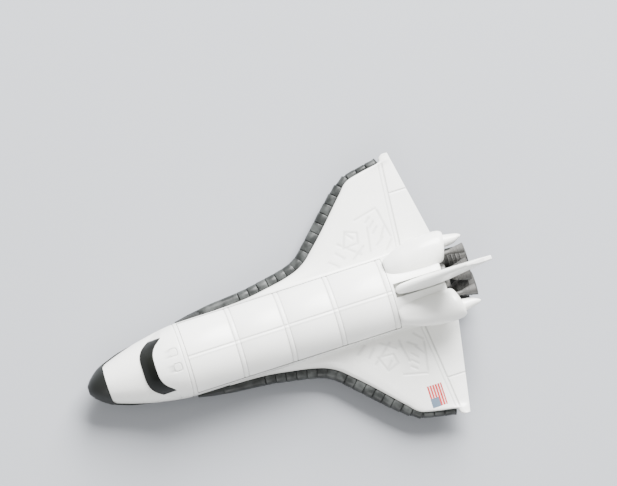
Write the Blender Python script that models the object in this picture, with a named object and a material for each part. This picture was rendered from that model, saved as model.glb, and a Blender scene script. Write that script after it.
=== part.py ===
"""A pocket-size die-cast toy space shuttle, standing on its wheels.

The white casting holds nose, cabin, sides, wings and engine pods. A moulded arch closes the
payload bay, a fin stands in a slot behind it, and a black moulded underbody carries the nose
cap, the ribbed leading edges, the gear legs and the body flap. Three wheel pairs roll on pins.

Every size below is in millimetres. Lengths called aft are measured from the tip of the nose.
The finished part is in metres: +Z is up, the nose points to -Y, and port is +X.
"""

import math
from collections import namedtuple

import bmesh
import bpy

MM = 0.001

LENGTH = 76.0
BELLY = 2.4
SPLIT = 4.0
SPRING = 7.6
ROOF = 14.2
GAP = 0.06
BAY_FRONT = 18.9
BAY_REAR = 58.1
BAY_HALF = 6.6
BAY_FLOOR = 9.0
HULL_REAR = 68.0
WING_ROOT = 7.0
DIHEDRAL = math.tan(math.radians(2.5))
ROUND_STEPS = 24

CAP_REAR = 3.4
CAP_SWEEP = 0.6
NOSE_LIP = 0.15
BELLY_ROUND = 1.1
ARCH_STEPS = 18
CONE_RINGS = (5.5, 7.3, 9.2)
ROOF_RINGS = (18.3, 28.0, 57.6, 60.0, 64.0, HULL_REAR)
COVER_RINGS = (BAY_FRONT, 28.0, 57.6, BAY_REAR)

# The hull at one length: half its width, its lowest point, where the side turns into the
# arch, and the top of the arch as if the nose cone ran on under the cabin.
Hull = namedtuple("Hull", "aft half_width belly spring crown")
HULL = (
    Hull(0.00, 0.55, 4.90, 5.30, 5.80),
    Hull(0.30, 1.15, 4.35, 5.30, 6.50),
    Hull(0.90, 1.85, 3.75, 5.25, 7.20),
    Hull(1.80, 2.55, 3.30, 5.20, 7.90),
    Hull(3.40, 3.38, 2.85, 5.20, 8.75),
    Hull(5.50, 4.15, 2.60, 5.20, 9.50),
    Hull(7.30, 4.75, 2.45, 5.25, 10.05),
    Hull(9.20, 5.30, BELLY, 5.35, 10.55),
    Hull(10.5, 5.65, BELLY, 5.50, 10.85),
    Hull(12.8, 6.10, BELLY, 6.00, 11.30),
    Hull(14.7, 6.45, BELLY, 6.60, 11.60),
    Hull(16.5, 6.70, BELLY, 7.20, 11.80),
    Hull(18.3, 6.85, BELLY, SPRING, 12.00),
    Hull(28.0, 6.90, BELLY, SPRING, 12.00),
    Hull(57.6, 6.90, BELLY, SPRING, 12.00),
    Hull(68.0, 7.30, BELLY, SPRING, 12.00),
)

# The roof line over the cabin and over the deck that carries the fin.
Roof = namedtuple("Roof", "aft crown")
ROOF_LINE = (
    Roof(0.0, 13.4),
    Roof(13.2, 13.5),
    Roof(15.0, 13.95),
    Roof(18.3, ROOF),
    Roof(57.6, ROOF - 0.2),
    Roof(60.0, 13.8),
    Roof(68.0, 12.9),
)

# The windscreen lies between two curves, given as lengths over the offset x from the middle.
SCREEN_FRONT = 10.5
SCREEN_FRONT_CURVE = 0.004
BROW_FRONT = 13.2
BROW_FLAT = 2.0
BROW_SLOPE = 0.8
SCREEN_HALF = 5.0
SCREEN_MARGIN = 0.12
SCREEN_DEPTH = 0.7
SCREEN_SUNK = 0.1
SCREEN_STEPS = 20

# The white wing's leading edge as seen from above, and how far the black strip stands out of it.
Edge = namedtuple("Edge", "aft out strip")
LEADING_EDGE = (
    Edge(18.5, 6.90, 0.25),
    Edge(22.0, 6.95, 0.55),
    Edge(27.5, 7.00, 1.00),
    Edge(32.1, 7.20, 1.35),
    Edge(36.7, 7.90, 1.50),
    Edge(40.3, 8.60, 1.55),
    Edge(43.0, 9.40, 1.60),
    Edge(45.0, 10.5, 1.65),
    Edge(46.8, 12.1, 1.70),
    Edge(48.6, 13.8, 1.80),
    Edge(50.5, 15.7, 1.85),
    Edge(52.5, 17.8, 1.75),
    Edge(55.0, 20.4, 1.55),
    Edge(57.2, 22.4, 1.10),
    Edge(60.5, 23.2, 1.05),
    Edge(63.6, 23.8, 1.20),
)
ROOT_TRAIL = 69.2
TIP_TRAIL = 66.0
TIP_OUT = 23.8
ELEVON_STEP = ((24.7, 64.0), (25.1, 64.6))
WING_EDGE_THICK = 0.55
WING_THICK_ROOT = 2.1
WING_THICK_TIP = 1.1
WING_PROFILE = ((0.0, 0.0), (0.04, 0.45), (0.15, 0.85), (0.35, 1.0), (0.6, 0.8), (0.8, 0.45), (1.0, 0.0))
PLATE_UNDER = BELLY + 0.3
PLATE_INSET = 0.8
PLATE_HEEL = 5.0
PLATE_HEEL_RISE = 0.5
INSET = 0.02

# The raised blocks on the black strip: one long bar, then blocks of one pitch to the tip.
STRIP_START = 19.0
BAR = (25.7, 31.6)
BLOCK_PITCH = 1.95
BLOCK_GROOVE = 0.34
BLOCK_SLOPE = 0.14
BLOCK_RISE = 0.42
GROOVE_SUNK = 0.2
CORNER_APART = 0.05

# A corner of the strip's section: how far out in mm and as a share of the strip's width, how high,
# and whether a block lifts it.
Corner = namedtuple("Corner", "out share up lifted")
STRIP_SECTION = (
    Corner(-0.8, 0.00, PLATE_UNDER, 0),
    Corner(-0.8, 0.00, SPLIT - GAP, 0),
    Corner(GAP, 0.00, SPLIT - GAP, 0),
    Corner(GAP, 0.00, SPLIT, 1),
    Corner(0.0, 0.55, SPLIT - 0.05, 1),
    Corner(0.0, 0.90, SPLIT - 0.5, 1),
    Corner(0.0, 1.00, SPLIT - 0.95, 0),
    Corner(0.0, 0.70, PLATE_UNDER, 0),
)

# Rounded forms set into the tail, as rings along the length.
Ring = namedtuple("Ring", "aft out up half_width half_height")
POD = (
    Ring(57.8, 4.3, 11.9, 0.8, 0.7),
    Ring(59.3, 4.5, 11.7, 2.1, 1.9),
    Ring(62.0, 4.9, 11.5, 2.8, 2.8),
    Ring(66.0, 5.3, 11.4, 3.1, 3.1),
    Ring(68.8, 5.4, 11.3, 3.0, 3.0),
    Ring(70.2, 5.4, 11.2, 2.6, 2.5),
)
STINGER = (
    Ring(68.6, 6.3, 10.8, 1.5, 1.5),
    Ring(70.6, 6.1, 10.7, 1.15, 1.35),
    Ring(72.6, 6.0, 10.6, 0.85, 1.1),
    Ring(73.5, 5.95, 10.6, 0.45, 0.6),
)
POD_STEPS = 18

# The fin in plan at one height: its leading and trailing ends and its half thicknesses.
Fin = namedtuple("Fin", "up lead trail nose middle rear")
FIN = (
    Fin(12.5, 58.75, 68.5, 0.90, 1.15, 0.95),
    Fin(14.3, 58.85, 68.9, 0.90, 1.18, 0.98),
    Fin(16.5, 60.90, 70.0, 0.75, 1.05, 0.88),
    Fin(27.8, 70.20, 75.3, 0.40, 0.56, 0.46),
    Fin(28.9, 71.20, 76.0, 0.34, 0.46, 0.40),
    Fin(29.3, 72.20, 75.8, 0.22, 0.30, 0.26),
)
SLOT_FLOOR = 12.4
SLOT_HALF = 1.22
SLOT_FRONT = 58.6

# The engines: each is named, with its axis and the radius of its mouth.
Bell = namedtuple("Bell", "name out up seat length mouth")
BULKHEAD_THICK = 0.9
BELL_SEAT = HULL_REAR + GAP + BULKHEAD_THICK + GAP
BELLS = (
    Bell("main_engine_upper", 0.0, 10.3, BELL_SEAT, 4.1, 2.2),
    Bell("main_engine_port", 2.75, 6.2, BELL_SEAT, 4.7, 2.3),
    Bell("main_engine_starboard", -2.75, 6.2, BELL_SEAT, 4.7, 2.3),
    Bell("orbital_engine_port", 3.9, 11.6, 70.2 + GAP, 2.9, 0.95),
    Bell("orbital_engine_starboard", -3.9, 11.6, 70.2 + GAP, 2.9, 0.95),
)
# A bell's outer wall: how far along it and how wide, as shares of its length and mouth.
BELL_WALL = ((0.0, 0.42), (0.16, 0.42), (0.22, 0.6), (0.3, 0.56), (0.46, 0.76), (0.54, 0.74))
BELL_WALL_REAR = ((0.7, 0.92), (0.78, 0.88), (0.94, 1.0), (1.0, 1.0))
BELL_HOLLOW = ((1.0, 0.86), (0.55, 0.62), (0.3, 0.3), (0.26, 0.0))

FLAP = (5.2, 66.5, 72.3)
FLAP_UNDER = 2.7
FLAP_TOP = 3.75
FLAP_EDGE = 0.5
FLAP_TAPER = 0.3

# The gear: each pair of wheels with the place of its pin, its wheels and its leg.
Gear = namedtuple("Gear", "name out aft radius width leg_half")
GEAR = (
    Gear("nose", 0.0, 13.6, 1.9, 1.1, 0.5),
    Gear("main_port", 6.9, 51.5, 2.3, 1.2, 0.6),
    Gear("main_starboard", -6.9, 51.5, 2.3, 1.2, 0.6),
)
PIN_RADIUS = 0.36
PIN_CLEAR = 0.05
WHEEL_CLEAR = 0.12
WELL_CLEAR = 0.3
LEG_FOOT = 0.85
LEG_LENGTH = 1.9

RIVETS = (("rivet_front", 22.5), ("rivet_rear", 61.0))
RIVET_RADIUS = 1.4
RIVET_DEPTH = 0.5
RIVET_PROUD = 0.2


def between(table, column, at, key="aft"):
    """The value of one column of a table, read between its rows."""
    before = table[0]
    for row in table:
        if getattr(row, key) >= at:
            break
        before = row
    start, end = getattr(before, key), getattr(row, key)
    first, last = getattr(before, column), getattr(row, column)
    share = 0.0 if end == start else min(1.0, (at - start) / (end - start))
    return first + (last - first) * share


def mesh_object(name, points, faces, helper=False):
    """A closed object from points in millimetres, aft counted from the nose."""
    shape = bmesh.new()
    corners = [shape.verts.new((x * MM, (aft - LENGTH / 2) * MM, z * MM)) for x, aft, z in points]
    for face in faces:
        shape.faces.new([corners[i] for i in face])
    bmesh.ops.triangulate(shape, faces=shape.faces[:])
    bmesh.ops.recalc_face_normals(shape, faces=shape.faces[:])
    mesh = bpy.data.meshes.new(name)
    shape.to_mesh(mesh)
    shape.free()
    made = bpy.data.objects.new(name, mesh)
    bpy.context.scene.collection.objects.link(made)
    if helper:
        made.hide_render = True
        made.display_type = "WIRE"
    return made


def end_faces(size, start, shift):
    """An end closed by strips between a ring's upper points and the lower ones under them."""
    faces = []
    for i in range((size - shift) // 2):
        corners = [i, i + 1, (size - shift - i - 1) % size, (size - shift - i) % size]
        corners = [start + c for n, c in enumerate(corners) if c not in corners[:n]]
        faces.append(tuple(corners))
    return faces


def loft(name, rings, helper=False, shift=None):
    """A solid through closed rings of equal length. Its ends are one face each, or strips if
    shift says how many points the upper half's start lies from the lower half's end."""
    size = len(rings[0])
    points = [point for ring in rings for point in ring]
    faces = []
    for i in range(len(rings) - 1):
        here, there = i * size, (i + 1) * size
        for j in range(size):
            k = (j + 1) % size
            faces.append((here + j, here + k, there + k, there + j))
    for start in (0, (len(rings) - 1) * size):
        if shift is None:
            faces.append(tuple(range(start, start + size)))
        else:
            faces += end_faces(size, start, shift)
    return mesh_object(name, points, faces, helper)


def box(name, low, high, helper=False):
    """A box between two corners."""
    rings = []
    for z in (low[2], high[2]):
        rings.append([(low[0], low[1], z), (high[0], low[1], z), (high[0], high[1], z), (low[0], high[1], z)])
    return loft(name, rings, helper)


def turned(name, centre, profile, axis, helper=False):
    """A turned solid. The profile holds (distance along the axis, radius), ends on the axis or closes."""
    steps = ROUND_STEPS
    x0, aft0, z0 = centre
    points, rows = [], []
    for along, radius in profile:
        if radius == 0.0:
            rows.append([len(points)])
            angles = (0.0,)
        else:
            rows.append(list(range(len(points), len(points) + steps)))
            angles = [2 * math.pi * i / steps for i in range(steps)]
        for angle in angles:
            side, rise = radius * math.cos(angle), radius * math.sin(angle)
            if axis == "x":
                points.append((x0 + along, aft0 + side, z0 + rise))
            elif axis == "aft":
                points.append((x0 + side, aft0 + along, z0 + rise))
            else:
                points.append((x0 + side, aft0 + rise, z0 + along))
    faces = []
    pairs = list(zip(rows, rows[1:]))
    if profile[0][1] != 0.0:
        pairs.append((rows[-1], rows[0]))
    for here, there in pairs:
        for i in range(steps):
            k = (i + 1) % steps
            corners = [here[i % len(here)], here[k % len(here)], there[k % len(there)], there[i % len(there)]]
            corners = [c for n, c in enumerate(corners) if c not in corners[:n]]
            if len(corners) > 2:
                faces.append(tuple(corners))
    return mesh_object(name, points, faces, helper)


def combine(target, other, operation):
    """Leaves a Boolean on the target."""
    modifier = target.modifiers.new(other.name, "BOOLEAN")
    modifier.operation = operation
    modifier.solver = "EXACT"
    modifier.object = other


def finish(target, material, smooth_degrees=35.0):
    """Gives the piece its material and its smooth faces."""
    target.data.materials.append(material)
    target.data.shade_smooth()
    target.data.set_sharp_from_angle(angle=math.radians(smooth_degrees))


def material(name, colour, roughness, metallic=0.0):
    """A plain surface with the toy's own colour."""
    made = bpy.data.materials.new(name)
    made.use_nodes = True
    surface = made.node_tree.nodes["Principled BSDF"]
    surface.inputs["Base Color"].default_value = (*colour, 1.0)
    surface.inputs["Roughness"].default_value = roughness
    surface.inputs["Metallic"].default_value = metallic
    return made


def dihedral(x):
    """How far the wing has risen at this offset from the middle."""
    return DIHEDRAL * max(0.0, abs(x) - WING_ROOT)


def cap_edge(share):
    """Where the nose cap ends at a share of its half width, further aft at the sides."""
    return CAP_REAR + CAP_SWEEP * share * share


def screen_front(x):
    """The windscreen's lower edge."""
    return SCREEN_FRONT + SCREEN_FRONT_CURVE * x**4


def screen_brow(x):
    """The windscreen's upper edge, under the brow of the roof."""
    return BROW_FRONT + BROW_SLOPE * max(0.0, abs(x) - BROW_FLAT)


def arch(x, aft, crown):
    """The height of the arch over one point of the hull."""
    spring = between(HULL, "spring", aft)
    share = min(1.0, abs(x) / between(HULL, "half_width", aft))
    return spring + (crown - spring) * math.sqrt(1.0 - share * share)


def nose_top(x, aft):
    return arch(x, aft, between(HULL, "crown", aft))


def roof_top(x, aft):
    return arch(x, aft, between(ROOF_LINE, "crown", aft))


def arch_ring(aft_of, top_of):
    """A ring over the hull and back along its flat foot. aft_of gives its length at a share of its
    half width."""
    upper = []
    for i in range(ARCH_STEPS + 1):
        share = math.cos(math.pi * i / ARCH_STEPS)
        aft = aft_of(share)
        x = between(HULL, "half_width", aft) * share
        upper.append((x, aft, top_of(x, aft)))
    return upper + [(x, aft, SPLIT) for x, aft, z in reversed(upper)]


def full_ring(aft_of):
    """A ring round the whole nose."""
    ring = []
    for i in range(ARCH_STEPS * 2):
        lean = math.pi * i / ARCH_STEPS
        aft = aft_of(math.cos(lean))
        x = between(HULL, "half_width", aft) * math.cos(lean)
        z = nose_top(x, aft)
        if i > ARCH_STEPS:
            spring, belly = between(HULL, "spring", aft), between(HULL, "belly", aft)
            z = spring + (spring - belly) * math.sin(lean)
        ring.append((x, aft, z))
    return ring


def lead_of(out):
    """The white wing's leading edge at one offset from the middle."""
    for before, after in zip(LEADING_EDGE, LEADING_EDGE[1:]):
        if out <= after.out:
            return before.aft + (after.aft - before.aft) * (out - before.out) / (after.out - before.out)
    return LEADING_EDGE[-1].aft


def trail_of(out):
    """The white wing's trailing edge, which runs forward to the tip."""
    return ROOT_TRAIL + (TIP_TRAIL - ROOT_TRAIL) * max(0.0, out - WING_ROOT) / (TIP_OUT - WING_ROOT)


def wing(name, side):
    """One white wing: sections across the span, flat below and crowned above."""
    stations = [(WING_ROOT - 0.5, 26.0), (WING_ROOT, 27.5)]
    stations += [(row.out, row.aft) for row in LEADING_EDGE if row.out > WING_ROOT]
    stations += list(ELEVON_STEP)
    rings = []
    for out, lead in stations:
        trail = trail_of(out)
        span_share = max(0.0, out - WING_ROOT) / (TIP_OUT - WING_ROOT)
        thick = WING_THICK_ROOT + (WING_THICK_TIP - WING_THICK_ROOT) * min(1.0, span_share)
        lift = dihedral(out)
        foot = SPLIT + 0.02 + lift
        ring = [(side * out, lead, foot)]
        for chord, height in WING_PROFILE:
            z = SPLIT + lift + WING_EDGE_THICK + (thick - WING_EDGE_THICK) * height
            ring.append((side * out, lead + (trail - lead) * chord, z))
        ring.append((side * out, trail, foot))
        rings.append(ring)
    return loft(name, rings, helper=True)


def ringed_form(name, rows, side):
    """A rounded form through a table of rings."""
    rings = []
    for row in rows:
        ring = []
        for i in range(POD_STEPS):
            lean = 2 * math.pi * i / POD_STEPS
            x = row.out + row.half_width * math.cos(lean)
            ring.append((side * x, row.aft, row.up + row.half_height * math.sin(lean)))
        rings.append(ring)
    return loft(name, rings, helper=True)


def screen_form(name, grow, sunk, helper):
    """The windscreen between its two edges, grown all round and sunk below the skin or proud of it."""
    rings = []
    half = SCREEN_HALF + grow
    for i in range(SCREEN_STEPS + 1):
        x = half * (2.0 * i / SCREEN_STEPS - 1.0)
        front = screen_front(x) + SCREEN_MARGIN - grow
        brow = screen_brow(x) - SCREEN_MARGIN + grow
        low, high = nose_top(x, screen_front(x)), roof_top(x, screen_brow(x))
        slope = math.atan2(high - low, screen_brow(x) - screen_front(x))
        depth = SCREEN_DEPTH + 2 * grow
        ring = []
        for aft, proud in ((front, sunk), (brow, sunk), (brow, -depth), (front, -depth)):
            z = low + math.tan(slope) * (aft - screen_front(x))
            ring.append((x, aft - math.sin(slope) * proud, z + math.cos(slope) * proud))
        rings.append(ring)
    return loft(name, rings, helper)


def wheel_places(gear):
    """The two wheels of a pair, each with its name and the offset of its middle."""
    apart = gear.leg_half + WHEEL_CLEAR + gear.width / 2
    for side, end in ((1, "port"), (-1, "starboard")):
        yield end, gear.out + side * apart


def wells():
    """The slots that the wheels turn in, open below."""
    made = []
    for gear in GEAR:
        reach = gear.radius + WELL_CLEAR
        half = gear.width / 2 + WHEEL_CLEAR
        for end, x in wheel_places(gear):
            low = (x - half, gear.aft - reach, 0.0)
            high = (x + half, gear.aft + reach, 2 * gear.radius + WELL_CLEAR)
            made.append(box(f"well_{gear.name}_{end}", low, high, helper=True))
    return made


def path_point(aft):
    """A point of the leading edge, with its outward direction and the strip's width there."""
    reach = 0.5
    x = between(LEADING_EDGE, "out", aft)
    run = between(LEADING_EDGE, "out", aft + reach) - between(LEADING_EDGE, "out", aft - reach)
    first, last = LEADING_EDGE[0].aft, LEADING_EDGE[-1].aft
    length = min(aft + reach, last) - max(aft - reach, first)
    size = math.hypot(run, length)
    return x, aft, length / size, -run / size, between(LEADING_EDGE, "strip", aft)


def strip_stations():
    """Lengths along the leading edge, each with its share of a block's height."""
    stations = [(STRIP_START, 0.0), (BAR[0] - BLOCK_SLOPE, 0.0), (BAR[0], 1.0)]
    stations += [(sum(BAR) / 2, 1.0), (BAR[1], 1.0)]
    aft = BAR[1]
    last = LEADING_EDGE[-1].aft
    while aft < last - BLOCK_PITCH / 2:
        lean = path_point(aft)[2]
        stations.append((aft + BLOCK_SLOPE * lean, 0.0))
        stations.append((aft + (BLOCK_GROOVE + BLOCK_SLOPE) * lean, 0.0))
        stations.append((aft + (BLOCK_GROOVE + 2 * BLOCK_SLOPE) * lean, 1.0))
        aft = min(last, aft + BLOCK_PITCH * path_point(aft + BLOCK_PITCH * lean / 2)[2])
        stations.append((aft, 1.0))
    if aft < last:
        stations.append((last, 1.0))
    corners = [row.aft for row in LEADING_EDGE if row.aft > STRIP_START]
    for corner in corners:
        for i, (start, end) in enumerate(zip(stations, stations[1:])):
            if start[0] + CORNER_APART < corner < end[0] - CORNER_APART and start[1] == end[1]:
                stations.insert(i + 1, (corner, start[1]))
                break
    return stations


def strip(name, side):
    """The black leading edge with its raised blocks, lofted along the wing's outline."""
    rings = []
    for aft, share in strip_stations():
        x, y, normal_x, normal_y, width = path_point(aft)
        width -= GROOVE_SUNK * (1.0 - share)
        ring = []
        for corner in STRIP_SECTION:
            out = corner.out + corner.share * width
            px, py = x + out * normal_x, y + out * normal_y
            z = corner.up + BLOCK_RISE * share * corner.lifted
            ring.append((side * px, py, z + dihedral(px)))
        rings.append(ring)
    return loft(name, rings, helper=True)


def plate(name, side):
    """The black underside of one wing, inside its leading-edge strip."""
    stations = [(4.0, 24.0), (WING_ROOT, 27.8)]
    stations += [(row.out, row.aft + 0.3) for row in LEADING_EDGE if row.out > WING_ROOT]
    rings = []
    for out, lead in stations:
        trail = trail_of(out) - PLATE_INSET
        heel = max(trail - PLATE_HEEL, (trail + lead) / 2)
        under, over, lip = PLATE_UNDER + INSET, SPLIT - GAP - INSET, PLATE_UNDER + PLATE_HEEL_RISE
        outline = ((lead, under), (lead, over), (trail, over), (trail, lip), (heel, under))
        rings.append([(side * out, aft, z + dihedral(out)) for aft, z in outline])
    return loft(name, rings, helper=True)


def belly_ring(aft, top):
    """A ring of the lower hull under a flat top, with rounded bilges."""
    lip = NOSE_LIP if aft < 9.0 else 0.0
    half = between(HULL, "half_width", aft) + lip
    low = between(HULL, "belly", aft)
    bend = min(BELLY_ROUND, (top - low) * 0.85)
    right = [(half, aft, top)]
    for i in range(5):
        lean = math.pi / 2 * i / 4
        right.append((half - bend + bend * math.cos(lean), aft, low + bend - bend * math.sin(lean)))
    return right + [(-x, y, z) for x, y, z in reversed(right)]


def flap(name):
    """The body flap under the engines, a wedge that thins to its trailing edge."""
    half, front, rear = FLAP
    rings = []
    for x, aft, low in ((half, front, FLAP_UNDER), (half - FLAP_TAPER, rear, FLAP_TOP - FLAP_EDGE)):
        rings.append([(-x, aft, low), (x, aft, low), (x, aft, FLAP_TOP), (-x, aft, FLAP_TOP)])
    return loft(name, rings, helper=True)


def build_casting(paint):
    """The white casting: cabin, hull, wings, pods, the seat of the cover and the slot for the fin."""
    half = between(HULL, "half_width", BROW_FRONT)
    rings = [arch_ring(lambda share: cap_edge(share) + GAP, nose_top)]
    rings += [arch_ring(lambda share, aft=aft: aft, nose_top) for aft in CONE_RINGS]
    rings.append(arch_ring(lambda share: screen_front(half * share), nose_top))
    rings.append(arch_ring(lambda share: screen_brow(half * share), roof_top))
    rings += [arch_ring(lambda share, aft=aft: aft, roof_top) for aft in ROOF_RINGS]
    body = loft("body_casting", rings, shift=1)
    for side, end in ((1, "port"), (-1, "starboard")):
        combine(body, wing(f"wing_{end}", side), "UNION")
        combine(body, ringed_form(f"pod_{end}", POD, side), "UNION")
        combine(body, ringed_form(f"stinger_{end}", STINGER, side), "UNION")
    low = (-BAY_HALF - GAP, BAY_FRONT - GAP, BAY_FLOOR)
    high = (BAY_HALF + GAP, BAY_REAR + GAP, ROOF + 2.0)
    bay = box("bay_cut", low, high, helper=True)
    combine(body, bay, "DIFFERENCE")
    slot = box("fin_slot", (-SLOT_HALF, SLOT_FRONT, SLOT_FLOOR), (SLOT_HALF, 72.0, 16.0), helper=True)
    combine(body, slot, "DIFFERENCE")
    combine(body, screen_form("screen_cut", 0.05, 0.6, helper=True), "DIFFERENCE")
    finish(body, paint)
    return body


def build_cover(paint):
    """The payload doors as one moulded arch, flush with the hull and set down in its seat."""
    foot = BAY_FLOOR + GAP
    rings = []
    for aft in COVER_RINGS:
        half_width, crown = between(HULL, "half_width", aft), between(ROOF_LINE, "crown", aft)
        first = math.acos(BAY_HALF / half_width)
        ring = [(BAY_HALF, aft, foot)]
        for i in range(ARCH_STEPS + 1):
            lean = first + (math.pi - 2 * first) * i / ARCH_STEPS
            ring.append((half_width * math.cos(lean), aft, SPRING + (crown - SPRING) * math.sin(lean)))
        rings.append([*ring, (-BAY_HALF, aft, foot)])
    cover = loft("payload_bay_cover", rings)
    finish(cover, paint)


def build_fin(paint):
    """The tail fin, a wedge that is thickest two thirds back."""
    rings = []
    for row in FIN:
        chord = row.trail - row.lead
        half = [
            (row.lead, 0.0),
            (row.lead + 0.03 * chord, 0.7 * row.nose),
            (row.lead + 0.12 * chord, row.nose),
            (row.lead + 0.62 * chord, row.middle),
            (row.trail, row.rear),
        ]
        ring = [(x, aft, row.up) for aft, x in half]
        ring += [(-x, aft, row.up) for aft, x in reversed(half[1:])]
        rings.append(ring)
    finish(loft("tail_fin", rings), paint)


def build_underbody(plastic, slots):
    """The black moulding: belly, nose cap, wing undersides, leading edges, gear legs and body flap."""
    top = SPLIT - GAP
    stations = (3.0, 4.2, 5.5, 7.3, 8.9, 9.2, 12.8, 18.3, 28.0, 57.6, HULL_REAR - 0.3)
    base = loft("underbody", [belly_ring(aft, top) for aft in stations])
    cap_stations = (0.0, 0.3, 0.9, 1.8)
    cap_rings = [full_ring(lambda share, aft=aft: aft) for aft in cap_stations]
    cap_rings.append(full_ring(cap_edge))
    combine(base, loft("nose_cap", cap_rings, helper=True, shift=0), "UNION")
    for side, end in ((1, "port"), (-1, "starboard")):
        combine(base, plate(f"plate_{end}", side), "UNION")
        combine(base, strip(f"strip_{end}", side), "UNION")
    combine(base, flap("body_flap"), "UNION")
    for slot in slots:
        combine(base, slot, "DIFFERENCE")
    for gear in GEAR:
        low = (gear.out - gear.leg_half, gear.aft - LEG_LENGTH / 2, gear.radius - LEG_FOOT)
        high = (gear.out + gear.leg_half, gear.aft + LEG_LENGTH / 2, BELLY + 1.0)
        combine(base, box(f"leg_{gear.name}", low, high, helper=True), "UNION")
        reach = gear.leg_half + 1.0
        bore = PIN_RADIUS + PIN_CLEAR
        profile = ((-reach, 0.0), (-reach, bore), (reach, bore), (reach, 0.0))
        cutter = turned(f"bore_{gear.name}", (gear.out, gear.aft, gear.radius), profile, "x", helper=True)
        combine(base, cutter, "DIFFERENCE")
    for name, aft in RIVETS:
        radius = RIVET_RADIUS + PIN_CLEAR
        profile = ((-1.0, 0.0), (-1.0, radius), (RIVET_DEPTH, radius), (RIVET_DEPTH, 0.0))
        combine(base, turned(f"{name}_seat", (0.0, aft, BELLY), profile, "z", helper=True), "DIFFERENCE")
    finish(base, plastic)


def build_bulkhead(plastic):
    """The plate that closes the tail and carries the engines, between the two pods."""
    outline = ((6.0, 4.1), (6.2, 7.7), (2.3, 8.5), (2.0, 11.6), (1.5, 12.2))
    outline = [*outline, *((-x, z) for x, z in reversed(outline))]
    front = HULL_REAR + GAP
    rings = []
    for aft, shrink in ((front, 0.0), (front + 0.6 * BULKHEAD_THICK, 0.0), (front + BULKHEAD_THICK, 0.25)):
        ring = []
        for x, z in outline:
            px = x - math.copysign(shrink, x)
            pz = z + shrink if z < 5.0 else z - shrink
            ring.append((px, aft, pz))
        rings.append(ring)
    finish(loft("engine_bulkhead", rings), plastic)


def build_bells(plastic):
    """The engine bells, hollow from behind and ribbed round their outside."""
    for bell in BELLS:
        walls = BELL_WALL + BELL_WALL_REAR
        profile = [(0.0, 0.0)]
        profile += [(along * bell.length, width * bell.mouth) for along, width in walls + BELL_HOLLOW]
        finish(turned(bell.name, (bell.out, bell.seat, bell.up), profile, "aft"), plastic)


def build_gear(tyre, steel):
    """Each pair of wheels on its pin. A wheel's origin is on the pin, where it turns."""
    for gear in GEAR:
        centre = (gear.out * MM, (gear.aft - LENGTH / 2) * MM, gear.radius * MM)
        reach = gear.leg_half + WHEEL_CLEAR + gear.width - 0.15
        profile = ((-reach, 0.0), (-reach, PIN_RADIUS), (reach, PIN_RADIUS), (reach, 0.0))
        pin = turned(f"{gear.name}_pin", (gear.out, gear.aft, gear.radius), profile, "x")
        pieces = [pin]
        finish(pin, steel)
        for end, x in wheel_places(gear):
            half, rim = gear.width / 2, gear.radius
            bore = PIN_RADIUS + PIN_CLEAR
            profile = (
                (-half, bore),
                (-half, rim * 0.72),
                (-half + 0.12, rim * 0.95),
                (-half + 0.3, rim),
                (half - 0.3, rim),
                (half - 0.12, rim * 0.95),
                (half, rim * 0.72),
                (half, bore),
            )
            wheel = turned(f"{gear.name}_wheel_{end}", (x, gear.aft, gear.radius), profile, "x")
            finish(wheel, tyre)
            pieces.append(wheel)
        for piece in pieces:
            for corner in piece.data.vertices:
                corner.co = (corner.co[0] - centre[0], corner.co[1] - centre[1], corner.co[2] - centre[2])
            piece.location = centre


def build_rivets(steel):
    """The two peened posts that hold the underbody on the casting."""
    for name, aft in RIVETS:
        top = RIVET_DEPTH - GAP
        head = ((-RIVET_PROUD, 0.0), (-RIVET_PROUD, 0.8 * RIVET_RADIUS), (0.0, RIVET_RADIUS))
        shank = ((top, RIVET_RADIUS), (top, 0.0))
        finish(turned(name, (0.0, aft, BELLY), head + shank, "z"), steel)


for old in list(bpy.data.objects):
    bpy.data.objects.remove(old, do_unlink=True)

white_paint = material("white_paint", (0.83, 0.83, 0.80), 0.35)
white_plastic = material("white_plastic", (0.84, 0.84, 0.82), 0.4)
black_plastic = material("black_plastic", (0.018, 0.018, 0.02), 0.45)
grey_plastic = material("grey_plastic", (0.05, 0.05, 0.052), 0.5)
black_gloss = material("black_gloss", (0.008, 0.008, 0.01), 0.12)
wheel_plastic = material("wheel_plastic", (0.02, 0.02, 0.02), 0.55)
bright_steel = material("bright_steel", (0.6, 0.6, 0.6), 0.3, 1.0)

wheel_slots = wells()
casting = build_casting(white_paint)
for wheel_slot in wheel_slots:
    combine(casting, wheel_slot, "DIFFERENCE")
finish(screen_form("windscreen", 0.0, -SCREEN_SUNK, helper=False), black_gloss)
build_cover(white_plastic)
build_fin(white_plastic)
build_underbody(black_plastic, wheel_slots)
build_bulkhead(grey_plastic)
build_bells(grey_plastic)
build_gear(wheel_plastic, bright_steel)
build_rivets(bright_steel)
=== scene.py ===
"""The looks of a pocket die-cast toy space shuttle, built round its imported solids.

Sizes are in millimetres: aft is counted from the tip of the nose, out from the middle line, with
port positive, and up from the floor. placed() turns such points into the frame's metres.
"""
import math

import bmesh
import bpy
import numpy as np
from mathutils import Matrix, Vector


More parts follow.
